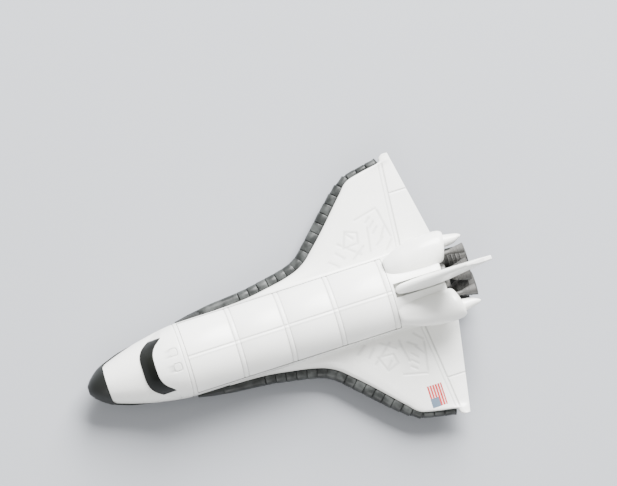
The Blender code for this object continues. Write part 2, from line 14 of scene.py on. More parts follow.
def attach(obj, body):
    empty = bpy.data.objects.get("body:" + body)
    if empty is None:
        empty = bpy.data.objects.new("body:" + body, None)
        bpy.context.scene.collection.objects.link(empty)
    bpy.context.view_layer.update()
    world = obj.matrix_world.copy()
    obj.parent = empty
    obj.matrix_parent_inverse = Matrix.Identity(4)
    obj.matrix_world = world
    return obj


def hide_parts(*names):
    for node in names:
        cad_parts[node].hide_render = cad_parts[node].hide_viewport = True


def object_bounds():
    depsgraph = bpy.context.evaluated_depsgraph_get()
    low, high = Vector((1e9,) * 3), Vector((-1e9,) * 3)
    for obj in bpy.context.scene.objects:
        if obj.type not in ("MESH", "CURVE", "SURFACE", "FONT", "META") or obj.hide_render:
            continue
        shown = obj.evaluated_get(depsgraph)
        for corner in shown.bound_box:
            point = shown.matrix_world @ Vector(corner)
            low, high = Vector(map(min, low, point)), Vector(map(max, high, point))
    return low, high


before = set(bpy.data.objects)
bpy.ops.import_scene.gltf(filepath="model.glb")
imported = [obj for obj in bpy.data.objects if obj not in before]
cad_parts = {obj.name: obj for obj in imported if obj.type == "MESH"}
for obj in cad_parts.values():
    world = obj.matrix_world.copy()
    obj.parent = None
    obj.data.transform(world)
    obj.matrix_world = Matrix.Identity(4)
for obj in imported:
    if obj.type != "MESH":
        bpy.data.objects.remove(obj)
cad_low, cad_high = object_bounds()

# The camera looks almost straight down on the toy through a long lens, from a little to port and
# ahead of it, with the nose at the lower left of the picture.
MM = 0.001
IMAGE_WIDTH, IMAGE_HEIGHT = 617, 486
PIXELS_PER_MM = 5.45
CAMERA_AWAY = 1250.0
TURN = math.radians(17.7)
LEAN_PORT = math.radians(2.6)
LEAN_NOSE = math.radians(4.0)
NOSE_PIXEL = (88.5, 390.8)
NOSE_TIP_UP = 5.3
FILM_WIDTH = 36.0
NEAREST_SEEN, FARTHEST_SEEN = 0.05, 50.0


def placed(points):
    """Points of out, aft and up in millimetres as the frame's metres."""
    points = np.asarray(points, float)
    return points * MM + np.array((0.0, cad_low[1], 0.0))


def shown(name, data):
    """An object for a mesh, a light or a camera, put into the scene."""
    made = bpy.data.objects.new(name, data)
    bpy.context.scene.collection.objects.link(made)
    return made


right = Vector((math.sin(TURN), math.cos(TURN), 0.0))
back = Vector((math.sin(LEAN_PORT), -math.sin(LEAN_NOSE), 1.0)).normalized()
right = (right - back * right.dot(back)).normalized()
above = back.cross(right)
nose_tip = Vector(placed((0.0, 0.0, NOSE_TIP_UP)))
aim = nose_tip + right * ((IMAGE_WIDTH / 2 - NOSE_PIXEL[0]) / PIXELS_PER_MM * MM)
aim += above * ((NOSE_PIXEL[1] - IMAGE_HEIGHT / 2) / PIXELS_PER_MM * MM)
lens = bpy.data.cameras.new("camera")
lens.sensor_width = FILM_WIDTH
lens.lens = FILM_WIDTH * PIXELS_PER_MM * CAMERA_AWAY / IMAGE_WIDTH
lens.clip_start, lens.clip_end = NEAREST_SEEN, FARTHEST_SEEN
camera = shown("camera", lens)
stand = Matrix((right, above, back)).transposed().to_4x4()
camera.matrix_world = Matrix.Translation(aim + back * CAMERA_AWAY * MM) @ stand
bpy.context.scene.camera = camera

# The floor is a pale grey board, matt and even, that the wheels stand on. It is larger than any view
# of the toy takes in.
FLOOR_HALF = 1500.0
FLOOR_GREY, FLOOR_ROUGHNESS = (0.29, 0.30, 0.32, 1.0), 0.9

corners = [(-FLOOR_HALF, -FLOOR_HALF, 0), (FLOOR_HALF, -FLOOR_HALF, 0)]
corners += [(FLOOR_HALF, FLOOR_HALF, 0), (-FLOOR_HALF, FLOOR_HALF, 0)]
board = bpy.data.meshes.new("floor")
board.from_pydata(placed(corners).tolist(), [], [(0, 1, 2, 3)])
floor = shown("floor", board)
matt_grey = bpy.data.materials.new("floor_grey")
matt_grey.use_nodes = True
paint = matt_grey.node_tree.nodes["Principled BSDF"].inputs
paint["Base Color"].default_value, paint["Roughness"].default_value = FLOOR_GREY, FLOOR_ROUGHNESS
board.materials.append(matt_grey)

# A broad soft light stands off the starboard wing, a weaker one ahead of the port side, and a pale
# sky fills in from all round.
# Name, place, size and power.
SOFTBOXES = (
    ("key_light", (-460.0, 320.0, 470.0), 480.0, 38.5),
    ("fill_light", (480.0, -260.0, 430.0), 420.0, 3.0),
)
SKY = (0.98, 0.985, 0.98, 1.0)
SKY_STRENGTH = 0.79

for name, spot, size, power in SOFTBOXES:
    soft = bpy.data.lights.new(name, "AREA")
    soft.energy = power
    soft.size = size * MM
    holder = shown(name, soft)
    holder.location = Vector(spot) * MM
    holder.rotation_euler = (-holder.location).to_track_quat("-Z", "Y").to_euler()
sky = bpy.data.worlds.new("sky")
sky.use_nodes = True
glow = sky.node_tree.nodes["Background"].inputs
glow["Color"].default_value, glow["Strength"].default_value = SKY, SKY_STRENGTH
bpy.context.scene.world = sky

# The white body is one zinc casting under off-white paint: nose cone, cabin, hull sides, wings and
# engine pods, open above for the payload cover and the fin, and cut below for the wheels. It meets
# the underbody at SPLIT, and the side of the hull turns into its arch at SPRING.
SPLIT, SPRING, GAP = 4.0, 7.6, 0.06
HULL_REAR, ARCH_STEPS, EDGE_SOFT, SHARP_ANGLE = 68.0, 128, 0.14, 32.0
# Aft, half width, belly, height where the side turns into the arch, and top of the arch.
HULL = np.array(
    (
        (0.00, 0.55, 4.90, 5.30, 5.80),
        (0.30, 1.15, 4.35, 5.30, 6.50),
        (0.90, 1.85, 3.75, 5.25, 7.20),
        (1.80, 2.55, 3.30, 5.20, 7.90),
        (3.40, 3.38, 2.85, 5.20, 8.75),
        (5.50, 4.15, 2.60, 5.20, 9.50),
        (7.30, 4.75, 2.45, 5.25, 10.05),
        (9.20, 5.30, 2.40, 5.35, 10.55),
        (10.5, 5.65, 2.40, 5.50, 10.85),
        (12.8, 6.10, 2.40, 6.00, 11.30),
        (14.7, 6.45, 2.40, 6.60, 11.60),
        (16.5, 6.70, 2.40, 7.20, 11.80),
        (18.3, 6.85, 2.40, SPRING, 12.00),
        (28.0, 6.90, 2.40, SPRING, 12.00),
        (57.6, 6.90, 2.40, SPRING, 12.00),
        (68.0, 7.30, 2.40, SPRING, 12.00),
    )
)
# Aft and top of the arch over the cabin and along the rear deck.
ROOF = ((0.0, 13.40), (13.2, 13.50), (15.0, 13.95), (18.3, 14.20), (57.6, 14.00), (60.0, 13.80))
ROOF = np.array((*ROOF, (68.0, 12.90)))
CAP_REAR, CAP_SWEEP, CAP_CORNER, CAP_CORNER_FROM = 3.4, 0.25, 0.5, 0.88
SCREEN_FRONT, SCREEN_FRONT_CURVE = 10.3, 0.0038
# Out from the middle and aft along the brow over the windscreen.
BROW = ((0.0, 12.75), (1.2, 12.78), (2.1, 12.9), (3.0, 13.25), (3.8, 13.85), (4.5, 14.7))
BROW = np.array((*BROW, (5.1, 15.35), (6.5, 15.75)))
# The rows of the skin: how many on the cone and up the brow, where the fine ones of the cabin roof
# start and end and how far apart they lie, and where the rest are. The last is tucked in and down.
CONE_ROWS, BROW_ROWS, BEHIND_BROW = 15, 5, (0.3, 0.6)
ROOF_ROWS = (15.9, 18.75, 0.09)
DECK_ROWS = (18.8, 28.0, 38.0, 48.0, 57.6, 58.2, 59, 60, 62, 64, 66, 67.75)
TAIL_TUCK, TAIL_DROP = 0.975, 0.12
# The payload bay: front, rear, half width and floor. The slot of the fin: front, half width, floor.
BAY = (18.9, 58.1, 6.6, 9.0)
FIN_SLOT = (58.6, 1.3, 12.4)
ABOVE_BAY, SLOT_REAR, ABOVE_SLOT = 16.2, 72.0, 16.0
# The overhead windows (out and aft) and the joint ahead of the payload doors, engraved in the roof.
WINDOWS = ((-1.65, 16.5), (1.25, 16.6))
WINDOW_HALF, WINDOW_LINE, WINDOW_DEPTH, PANE_DEPTH = 0.72, 0.17, 0.15, 0.04
CABIN_JOINT = 18.1
JOINT_HALF, JOINT_DEPTH = 0.17, 0.11


def smooth(table, column, at):
    """One column of a table read along a curve that doesn't swing past the table's rows."""
    places, values = table[:, 0], table[:, column]
    gaps = np.diff(places)
    slopes = np.diff(values) / gaps
    bends = np.zeros(len(values))
    before, after = 2 * gaps[1:] + gaps[:-1], gaps[1:] + 2 * gaps[:-1]
    turning = slopes[:-1] * slopes[1:] <= 0
    safe = np.where(turning, 1.0, slopes[:-1]), np.where(turning, 1.0, slopes[1:])
    bends[1:-1] = np.where(turning, 0.0, (before + after) / (before / safe[0] + after / safe[1]))
    bends[0], bends[-1] = slopes[0], slopes[-1]
    row = np.clip(np.searchsorted(places, at) - 1, 0, len(gaps) - 1)
    share, gap = np.clip((at - places[row]) / gaps[row], 0.0, 1.0), gaps[row]
    rest = 1 - share
    near = (1 + 2 * share) * rest**2 * values[row] + share * rest**2 * gap * bends[row]
    far = share**2 * (3 - 2 * share) * values[row + 1] + share**2 * (share - 1) * gap * bends[row + 1]
    return near + far


NOSE = HULL.copy()
NOSE[:, 0] = np.sqrt(HULL[:, 0])


def hull_at(column, aft):
    """A size of the hull, rounded towards the blunt tip of the nose."""
    return smooth(NOSE, column, np.sqrt(np.maximum(aft, 0.0)))


def arch(x, aft, crown):
    """The height of the hull's arch over a point."""
    share = np.clip(np.abs(x) / hull_at(1, aft), 0.0, 1.0)
    spring = hull_at(3, aft)
    return spring + (crown - spring) * np.sqrt(1.0 - share**2)


def cone_top(x, aft):
    return arch(x, aft, hull_at(4, aft))


def roof_top(x, aft):
    return arch(x, aft, smooth(ROOF, 1, aft))


def cap_edge(share):
    """Where the white starts behind the nose cap, for a share of the hull's half width."""
    corner = np.clip((np.abs(share) - CAP_CORNER_FROM) / (1 - CAP_CORNER_FROM), 0.0, 1.0)
    return CAP_REAR + CAP_SWEEP * share**2 + CAP_CORNER * corner**2


def screen_front(x):
    return SCREEN_FRONT + SCREEN_FRONT_CURVE * np.abs(x) ** 4


def screen_brow(x):
    return smooth(BROW, 1, np.abs(x))


def dip(distance, half):
    """The section of an engraved line: 1 in its middle, 0 from its edge outwards."""
    return np.maximum(0.0, 1.0 - (distance / half) ** 2) ** 2


def outwards(mesh):
    """Turns the faces of a closed mesh outwards."""
    shape = bmesh.new()
    shape.from_mesh(mesh)
    bmesh.ops.recalc_face_normals(shape, faces=shape.faces[:])
    shape.to_mesh(mesh)
    shape.free()


def noted(mesh, name, values):
    """Keeps one number for each point of a mesh under a name."""
    mesh.attributes.new(name, "FLOAT", "POINT").data.foreach_set("value", np.asarray(values, np.float32))


def loft(name, rings, shift=None, groove=None):
    """A closed solid at the origin, through rings of points. Its ends are one face each, or strips
    from the upper half of the ring to the lower, where shift counts the points by which the halves
    lie apart. The depth of its engraving is kept on it as groove."""
    rings = np.asarray(rings, float)
    rows, size = rings.shape[:2]
    here = np.arange(size)
    faces = []
    for row in range(rows - 1):
        a, b = row * size + here, row * size + (here + 1) % size
        faces += np.stack((a, b, b + size, a + size), axis=1).tolist()
    for start in (0, (rows - 1) * size):
        if shift is None:
            faces.append((start + here).tolist())
            continue
        for i in range((size - shift) // 2):
            strip = [i, i + 1, (size - shift - i - 1) % size, (size - shift - i) % size]
            faces.append([start + c for n, c in enumerate(strip) if c not in strip[:n]])
    mesh = bpy.data.meshes.new(name)
    mesh.from_pydata(placed(rings.reshape(-1, 3)).tolist(), [], faces)
    if groove is not None:
        noted(mesh, "groove", np.reshape(groove, -1))
    outwards(mesh)
    return shown(name, mesh)


def block(name, low, high):
    """A box between two corners."""
    corners = (low[0], low[1]), (high[0], low[1]), (high[0], high[1]), (low[0], high[1])
    return loft(name, [[(*corner, up) for corner in corners] for up in (low[2], high[2])])


def joined(target, others, operation):
    """The target united with several closed solids, or cut by them. They are then gone."""
    for other in others:
        modifier = target.modifiers.new(other.name, "BOOLEAN")
        modifier.operation = operation
        modifier.solver = "MANIFOLD"
        modifier.object = other
    settle(target)
    for other in others:
        bpy.data.objects.remove(other)


def settle(target):
    """Turns an object with its modifiers into a plain mesh."""
    graph = bpy.context.evaluated_depsgraph_get()
    finished = target.evaluated_get(graph)
    mesh = bpy.data.meshes.new_from_object(finished, preserve_all_data_layers=True, depsgraph=graph)
    target.modifiers.clear()
    target.data = mesh
    mesh.name = target.name


def shaded(target, degrees=SHARP_ANGLE):
    target.data.shade_smooth()
    target.data.set_sharp_from_angle(angle=math.radians(degrees))


def curve(start, corner, end, steps=5):
    """Points along a short curve that rounds a corner off."""
    return [start * (1 - t) ** 2 + 2 * corner * t * (1 - t) + end * t**2 for t in np.linspace(0, 1, steps)]


def softened(rows, corner, reach=EDGE_SOFT):
    """Rows of points with a short curve in place of one sharp row."""
    before, edge, after = rows[corner - 1], rows[corner], rows[corner + 1]
    start = edge + (before - edge) / np.linalg.norm(before - edge, axis=1, keepdims=True) * reach
    end = edge + (after - edge) / np.linalg.norm(after - edge, axis=1, keepdims=True) * reach
    return rows[:corner] + curve(start, edge, end) + rows[corner + 1 :]


def hull_rows():
    """The casting's upper skin from the nose cap to the tail, as rows from port over to starboard."""
    share = np.cos(np.pi * np.arange(ARCH_STEPS + 1) / ARCH_STEPS)
    half = hull_at(1, BROW[0, 1])

    def row(aft, top):
        aft = np.broadcast_to(aft, share.shape).astype(float)
        x = hull_at(1, aft) * share
        return np.stack((x, aft, top(x, aft)), axis=1)

    first, screen = cap_edge(share) + GAP, screen_front(half * share)
    rows = [row(first + (screen - first) * t, cone_top) for t in np.linspace(0.0, 1.0, CONE_ROWS)]
    front = len(rows) - 1
    brow = row(screen_brow(half * share), roof_top)
    rows += [rows[-1] + (brow - rows[-1]) * t for t in np.linspace(0.0, 1.0, BROW_ROWS + 1)[1:]]
    back = len(rows) - 1
    rows += [rows[-1] + (row(ROOF_ROWS[0], roof_top) - rows[-1]) * t for t in BEHIND_BROW]
    rows = softened(softened(rows, back), front)
    rows += [row(aft, roof_top) for aft in (*np.arange(*ROOF_ROWS), *DECK_ROWS)]
    tail = row(HULL_REAR, roof_top) * (TAIL_TUCK, 1.0, 1.0) - (0.0, 0.0, TAIL_DROP)
    return rows + [tail]


def cabin_depth(x, aft):
    """How deep the cabin roof is engraved at a point."""
    depth = JOINT_DEPTH * dip(aft - CABIN_JOINT, JOINT_HALF)
    for middle, along in WINDOWS:
        far = ((x - middle) ** 4 + (aft - along) ** 4) ** 0.25
        pane = PANE_DEPTH * np.clip((WINDOW_HALF - far) / WINDOW_LINE, 0.0, 1.0)
        depth = np.maximum(depth, np.maximum(WINDOW_DEPTH * dip(far - WINDOW_HALF, WINDOW_LINE), pane))
    return depth


skin = np.array(hull_rows())
sunk = cabin_depth(skin[:, :, 0], skin[:, :, 1])
lean = skin[:, :, 0] / hull_at(1, skin[:, :, 1])
skin[:, :, 0] -= sunk * lean
skin[:, :, 2] -= sunk * np.sqrt(1.0 - np.clip(lean, -1.0, 1.0) ** 2)
foot = skin[:, ::-1].copy()
foot[:, :, 2] = SPLIT
rings = np.concatenate((skin, foot), axis=1)
casting = loft("white_body", rings, shift=1, groove=np.concatenate((sunk, np.zeros_like(sunk)), axis=1))

# The wings are part of the casting: crowned plates with the elevon joints and shallow panel lines
# of the mould on top, a cast fillet along the hull, and a step at the tip behind the black edge.
WING_ROOT, DIHEDRAL = 7.0, math.tan(math.radians(2.5))
# Out, aft and, for the black edge further on, its width.
WING_OUTLINE = np.array(
    (
        (6.50, 14.0, 0.20),
        (6.90, 18.5, 0.40),
        (6.95, 22.0, 1.00),
        (7.05, 27.5, 1.55),
        (7.30, 32.1, 1.70),
        (7.95, 36.7, 1.80),
        (8.60, 40.3, 1.85),
        (9.40, 43.0, 1.85),
        (10.5, 45.0, 1.90),
        (12.1, 46.8, 1.95),
        (13.8, 48.6, 2.00),
        (15.7, 50.5, 2.00),
        (17.8, 52.5, 1.90),
        (20.4, 55.0, 1.65),
        (22.4, 57.2, 1.10),
        (23.2, 60.5, 1.05),
        (23.8, 63.6, 1.20),
        (24.7, 64.0, 1.20),
        (25.1, 64.6, 1.20),
    )
)
ROOT_TRAIL, TIP_TRAIL, TIP_OUT = 69.2, 66.0, 23.8
WING_EDGE, WING_THICK_ROOT, WING_THICK_TIP = 0.55, 2.1, 1.1
# The crown of the wing: shares of its chord and of its thickness.
WING_PROFILE = ((0.0, 0.0), (0.04, 0.45), (0.15, 0.85), (0.35, 1.0), (0.6, 0.8), (0.8, 0.45), (1.0, 0.0))
WING_PROFILE = np.array(WING_PROFILE)
# Sections across the wing: from, to and how far apart. The last few close its tip.
SPANS = ((6.5, 7.7, 0.08), (7.7, 17.4, 0.16), (17.4, 18.2, 0.08), (18.2, 24.8, 0.16))
TIP_SPANS = (24.85, 25.1, 6)
ROWS_AHEAD, ROWS_ABOUT, ROWS_BEHIND = 150, 26, 34
EDGE_ROWS = EDGE_SOFT * np.array((0.0, 0.06, 0.3, 0.65, 1.0))
FILLET, FILLET_SLOPE = 0.55, 0.35
# Out and aft along the hinge of the elevons.
HINGE = np.array(((6.0, 62.5), (7.5, 62.7), (16.5, 63.5), (24.0, 64.2), (25.2, 64.3)))
ELEVON_SPLIT, HINGE_HALF, HINGE_DEPTH, SECOND_LINE = 17.8, 0.24, 0.16, 0.75
# The hinge keeps this share of the chord ahead of it and this distance behind it. The rows close
# round it start and end at these distances, or at these shares of the way where the chord is short.
HINGE_SHARE, HINGE_MARGIN, CLOSE_AHEAD, CLOSE_BEHIND = 0.45, 0.3, (1.1, 0.6), (0.3, 0.5)
LINES_END, LINES_FADE = 23.6, 0.4
# Engraved strokes on top of each wing: out and aft of one end, out and aft of the other.
STROKES = (
    (10.5, 52.5, 10.7, 55.4),
    (10.7, 55.4, 12.6, 55.8),
    (12.6, 55.8, 13.4, 53.6),
    (13.4, 53.6, 10.5, 52.5),
    (8.9, 49.2, 7.6, 50.8),
    (10.1, 50.9, 8.7, 52.2),
    (11.6, 51.7, 8.5, 55.4),
    (13.1, 53.6, 11.8, 54.7),
    (10.5, 59.8, 12.3, 61.0),
    (10.2, 61.6, 15.5, 60.6),
    (14.9, 56.1, 15.9, 60.4),
    (8.6, 57.2, 12.9, 57.9),
    (8.1, 53.7, 9.9, 56.2),
    (8.1, 60.2, 9.6, 61.6),
    (11.6, 58.6, 12.6, 59.6),
    (12.8, 58.3, 13.7, 59.3),
    (13.9, 57.9, 14.6, 58.8),
    (9.3, 58.6, 10.4, 60.1),
)
STROKE_HALF, STROKE_DEPTH = 0.36, 0.1


def trail_of(out):
    return ROOT_TRAIL + (TIP_TRAIL - ROOT_TRAIL) * np.maximum(0.0, out - WING_ROOT) / (TIP_OUT - WING_ROOT)


def lift_of(out):
    return DIHEDRAL * np.maximum(0.0, np.abs(out) - WING_ROOT)


def wing_depth(out, aft, hinge):
    """How deep the top of the wing is engraved at a point."""
    fade = np.clip((LINES_END - out) / LINES_FADE, 0.0, 1.0)
    depth = HINGE_DEPTH * dip(aft - hinge, HINGE_HALF) * fade
    depth = np.maximum(depth, 0.5 * HINGE_DEPTH * dip(aft - hinge + SECOND_LINE, HINGE_HALF) * fade)
    depth = np.maximum(depth, HINGE_DEPTH * dip(out - ELEVON_SPLIT, HINGE_HALF) * (aft > hinge))
    for x0, y0, x1, y1 in STROKES:
        length = math.hypot(x1 - x0, y1 - y0)
        along = np.clip(((out - x0) * (x1 - x0) + (aft - y0) * (y1 - y0)) / length**2, 0.0, 1.0)
        away = np.hypot(out - x0 - along * (x1 - x0), aft - y0 - along * (y1 - y0))
        depth = np.maximum(depth, STROKE_DEPTH * dip(away, STROKE_HALF))
    return depth


def rounding(away):
    """How far a surface drops near a sharp edge that is rounded off."""
    return EDGE_SOFT - np.sqrt(EDGE_SOFT**2 - (EDGE_SOFT - np.clip(away, 0.0, EDGE_SOFT)) ** 2)


def wing(name, side):
    """One wing, as rings across the span that run from the leading edge over the top to the trail."""
    outs = np.concatenate([np.arange(*span) for span in SPANS] + [np.linspace(*TIP_SPANS)])
    rings, sunk = [], []
    for out in outs:
        lead = smooth(WING_OUTLINE, 1, max(out, WING_ROOT))
        trail, hinge = trail_of(out), smooth(HINGE, 1, out)
        hinge = min(max(hinge, lead + HINGE_SHARE * (trail - lead)), trail - HINGE_MARGIN)
        start, end = lead + EDGE_SOFT, trail - EDGE_SOFT
        before = hinge - min(CLOSE_AHEAD[0], CLOSE_AHEAD[1] * (hinge - start))
        beyond = hinge + min(CLOSE_BEHIND[0], CLOSE_BEHIND[1] * (end - hinge))
        ahead = np.linspace(start, before, ROWS_AHEAD)[1:]
        about = np.linspace(before, beyond, ROWS_ABOUT)[1:]
        behind = np.linspace(beyond, end, ROWS_BEHIND)[1:-1]
        aft = np.concatenate((lead + EDGE_ROWS, ahead, about, behind, trail - EDGE_ROWS[::-1]))
        share = np.clip((aft - lead) / (trail - lead), 0.0, 1.0)
        span = min(1.0, max(0.0, out - WING_ROOT) / (TIP_OUT - WING_ROOT))
        thick = WING_THICK_ROOT + (WING_THICK_TIP - WING_THICK_ROOT) * span
        top = SPLIT + lift_of(out) + WING_EDGE + (thick - WING_EDGE) * smooth(WING_PROFILE, 1, share)
        from_edge = np.minimum(aft - lead, trail - aft)
        top -= rounding(from_edge) + rounding(outs[-1] - out)
        wall = np.maximum(0.0, out - hull_at(1, aft))
        room = np.clip(from_edge * FILLET_SLOPE, 0.0, FILLET)
        fillet = room - np.sqrt(np.maximum(0.0, room**2 - (room - wall) ** 2))
        depth = wing_depth(out, aft, hinge)
        top += np.where(wall < room, fillet, 0.0) - depth
        low = SPLIT + GAP / 3 + lift_of(out)
        over = np.column_stack((np.full(len(aft), side * out), aft, top)).tolist()
        rings.append([(side * out, lead, low), *over, (side * out, trail, low)])
        sunk.append((0.0, *depth, 0.0))
    return loft(name, rings, groove=sunk)


# The engine pods stand on the rear deck, each with a smaller rounded fairing that runs on past it.
# Aft, out, up, half width and half height of their sections.
POD = np.array(
    (
        (57.8, 4.3, 11.9, 0.8, 0.7),
        (58.3, 4.4, 11.8, 1.6, 1.4),
        (59.3, 4.5, 11.7, 2.15, 1.95),
        (62.0, 4.9, 11.5, 2.8, 2.8),
        (66.0, 5.3, 11.4, 3.1, 3.1),
        (68.8, 5.4, 11.3, 3.0, 3.0),
        (69.8, 5.4, 11.25, 2.8, 2.75),
        (70.2, 5.4, 11.2, 2.5, 2.4),
    )
)
STINGER = np.array(
    (
        (68.6, 6.3, 10.8, 1.5, 1.5),
        (70.6, 6.1, 10.7, 1.15, 1.35),
        (72.6, 6.0, 10.6, 0.85, 1.1),
        (73.2, 5.96, 10.6, 0.65, 0.85),
        (73.5, 5.95, 10.6, 0.4, 0.52),
    )
)
POD_STEPS, POD_ROWS, STINGER_ROWS = 72, 56, 26
POD_SLANT, SLANT_FROM, SLANT_RUN, SLANT_POWER = 1.1, 64.0, 6.2, 1.5


def circle(steps):
    """The cosines and sines of even steps once round."""
    turn = 2 * math.pi * np.arange(steps) / steps
    return np.cos(turn), np.sin(turn)


def pod(name, sections, side, rows):
    """A rounded form through a table of sections, cut back at the rear on its inner side."""
    across, over = circle(POD_STEPS)
    inner = POD_SLANT * (0.5 - 0.5 * across) ** SLANT_POWER
    rings = []
    for aft in np.linspace(sections[0, 0], sections[-1, 0], rows):
        out, up, half, high = (smooth(sections, column, aft) for column in (1, 2, 3, 4))
        back = aft - inner * np.clip((aft - SLANT_FROM) / SLANT_RUN, 0.0, 1.0) ** SLANT_POWER
        rings.append(np.stack((side * (out + half * across), back, up + high * over), 1))
    return loft(name, rings)


# The seat that the windscreen is set in is cut with the windscreen's own shape, grown all round and
# reaching above the skin.
SCREEN_HALF, SCREEN_MARGIN, SCREEN_STEPS, SCREEN_ROWS = 5.0, 0.12, 64, 9
SEAT_GROW, SEAT_REACH = 0.06, 0.7
SCREEN_PROUD, SCREEN_DEPTH, SCREEN_BULGE = 0.1, 0.7, 0.12


def screen_form(name, grow, proud, rows):
    """The windscreen from its lower edge to the brow, lying so far proud of the skin."""
    half = SCREEN_HALF + grow
    rings = []
    for x in half * np.linspace(-1.0, 1.0, SCREEN_STEPS + 1):
        front, brow = screen_front(x) + SCREEN_MARGIN - grow, screen_brow(x) - SCREEN_MARGIN + grow
        low, high = cone_top(x, screen_front(x)), roof_top(x, screen_brow(x))
        slope = math.atan2(high - low, screen_brow(x) - screen_front(x))
        across = math.sqrt(max(0.0, 1.0 - (x / half) ** 4))
        ring = []
        for share in np.linspace(0.0, 1.0, rows):
            bulge = (0.0 if grow else SCREEN_BULGE) * across * math.sin(math.pi * share)
            ring.append((front + (brow - front) * share, proud + bulge))
        ring += [(aft, -SCREEN_DEPTH - 2 * grow) for aft in (brow, front)]
        lean = -math.sin(slope), math.cos(slope)
        line = [(aft, low + math.tan(slope) * (aft - screen_front(x)), rise) for aft, rise in ring]
        rings.append([(x, aft + lean[0] * rise, up + lean[1] * rise) for aft, up, rise in line])
    return loft(name, rings)


# The gear, for the wells and the wheels alike: out, aft, wheel radius, wheel width, half the leg.
# The wells that the wheels turn in are open below.
GEAR = {
    "nose": (0.0, 13.6, 1.9, 1.1, 0.5),
    "main_port": (6.9, 51.5, 2.3, 1.2, 0.6),
    "main_starboard": (-6.9, 51.5, 2.3, 1.2, 0.6),
}
WHEEL_CLEAR, WELL_CLEAR = 0.12, 0.3


def wheel_middles(gear):
    out, aft, radius, width, leg = GEAR[gear]
    apart = leg + WHEEL_CLEAR + width / 2
    return (("port", out + apart), ("starboard", out - apart))


def wells():
    made = []
    for gear, (out, aft, radius, width, leg) in GEAR.items():
        reach, half = radius + WELL_CLEAR, width / 2 + WHEEL_CLEAR
        for end, x in wheel_middles(gear):
            high = (x + half, aft + reach, 2 * radius + WELL_CLEAR)
            made.append(block(f"well_{gear}_{end}", (x - half, aft - reach, 0.0), high))
    return made


SIDES = ((1, "port"), (-1, "starboard"))
added = []
for side, end in SIDES:
    added += [wing(f"wing_{end}", side), pod(f"pod_{end}", POD, side, POD_ROWS)]
    added.append(pod(f"stinger_{end}", STINGER, side, STINGER_ROWS))
joined(casting, added, "UNION")
front, rear, half, floor_up = BAY
low, high = (-half - GAP, front - GAP, floor_up - 0.5), (half + GAP, rear + GAP, ABOVE_BAY)
front, half, floor_up = FIN_SLOT
slot = block("slot", (-half, front, floor_up), (half, SLOT_REAR, ABOVE_SLOT))
seat = screen_form("screen_seat", SEAT_GROW, SEAT_REACH, 2)
joined(casting, [*wells(), block("bay", low, high), slot, seat], "DIFFERENCE")
shaded(casting)

# The finishes share three effects: softened edges, the fine grain of a surface with its slow waves,
# and the faint marks that hands leave on it. Their sizes are in millimetres.
GRAIN_DETAIL, WAVE_DETAIL, MARK_DETAIL, MARK_RANGE, BEVEL_SAMPLES = 2.0, 1.0, 5.0, (0.42, 0.68), 6


def node(tree, kind, inputs=None, **settings):
    """A node with its settings made, and each input given a value or joined to a socket."""
    made = tree.nodes.new(kind)
    for setting, value in settings.items():
        setattr(made, setting, value)
    for socket, value in (inputs or {}).items():
        if isinstance(value, bpy.types.NodeSocket):
            tree.links.new(value, made.inputs[socket])
        else:
            made.inputs[socket].default_value = value
    return made


def maths(tree, operation, *values):
    """The result of one sum on sockets and numbers."""
    return node(tree, "ShaderNodeMath", dict(enumerate(values)), operation=operation).outputs[0]


def group(kind, name, inputs, outputs):
    """An empty node group and its two end nodes. A socket is given as its kind and its value, if any."""
    tree = bpy.data.node_groups.new(name, f"{kind}NodeTree")
    for in_out, sockets in (("INPUT", inputs), ("OUTPUT", outputs)):
        for socket, (what, *value) in sockets.items():
            made = tree.interface.new_socket(name=socket, in_out=in_out, socket_type=f"NodeSocket{what}")
            if value:
                made.default_value = value[0]
    return tree, tree.nodes.new("NodeGroupInput"), tree.nodes.new("NodeGroupOutput")


def noise(tree, places, size, detail):
    """A noise with features of one size."""
    scale = maths(tree, "DIVIDE", 1.0 / MM, size)
    inputs = {"Vector": places, "Scale": scale, "Detail": detail}
    return node(tree, "ShaderNodeTexNoise", inputs).outputs["Fac"]


def grain_group():
    """Height of the fine grain on its slow waves, and a mask of handling marks."""
    inputs = {"Grain size": ("Float", 0.08), "Wave size": ("Float", 1.2), "Wave share": ("Float", 0.5)}
    inputs["Mark size"] = ("Float", 6.0)
    tree, start, end = group("Shader", "surface_grain", inputs, {"Height": ("Float",), "Marks": ("Float",)})
    sizes = start.outputs
    places = node(tree, "ShaderNodeTexCoord").outputs["Object"]
    grain = noise(tree, places, sizes["Grain size"], GRAIN_DETAIL)
    wave = noise(tree, places, sizes["Wave size"], WAVE_DETAIL)
    height = node(tree, "ShaderNodeMix", {"Factor": sizes["Wave share"], "A": grain, "B": wave})
    marks = noise(tree, places, sizes["Mark size"], MARK_DETAIL)
    marks = {"Value": marks, "From Min": MARK_RANGE[0], "From Max": MARK_RANGE[1]}
    marks = node(tree, "ShaderNodeMapRange", marks)
    tree.links.new(height.outputs["Result"], end.inputs["Height"])
    tree.links.new(marks.outputs["Result"], end.inputs["Marks"])
    return tree


def edge_group():
    """The normal of the surface with its sharp edges rounded over."""
    tree, start, end = group("Shader", "soft_edges", {"Radius": ("Float", 0.05)}, {"Normal": ("Vector",)})
    radius = maths(tree, "MULTIPLY", start.outputs["Radius"], MM)
    bevel = node(tree, "ShaderNodeBevel", {"Radius": radius}, samples=BEVEL_SAMPLES)
    tree.links.new(bevel.outputs["Normal"], end.inputs["Normal"])
    return tree


SURFACE_GRAIN, SOFT_EDGES = grain_group(), edge_group()


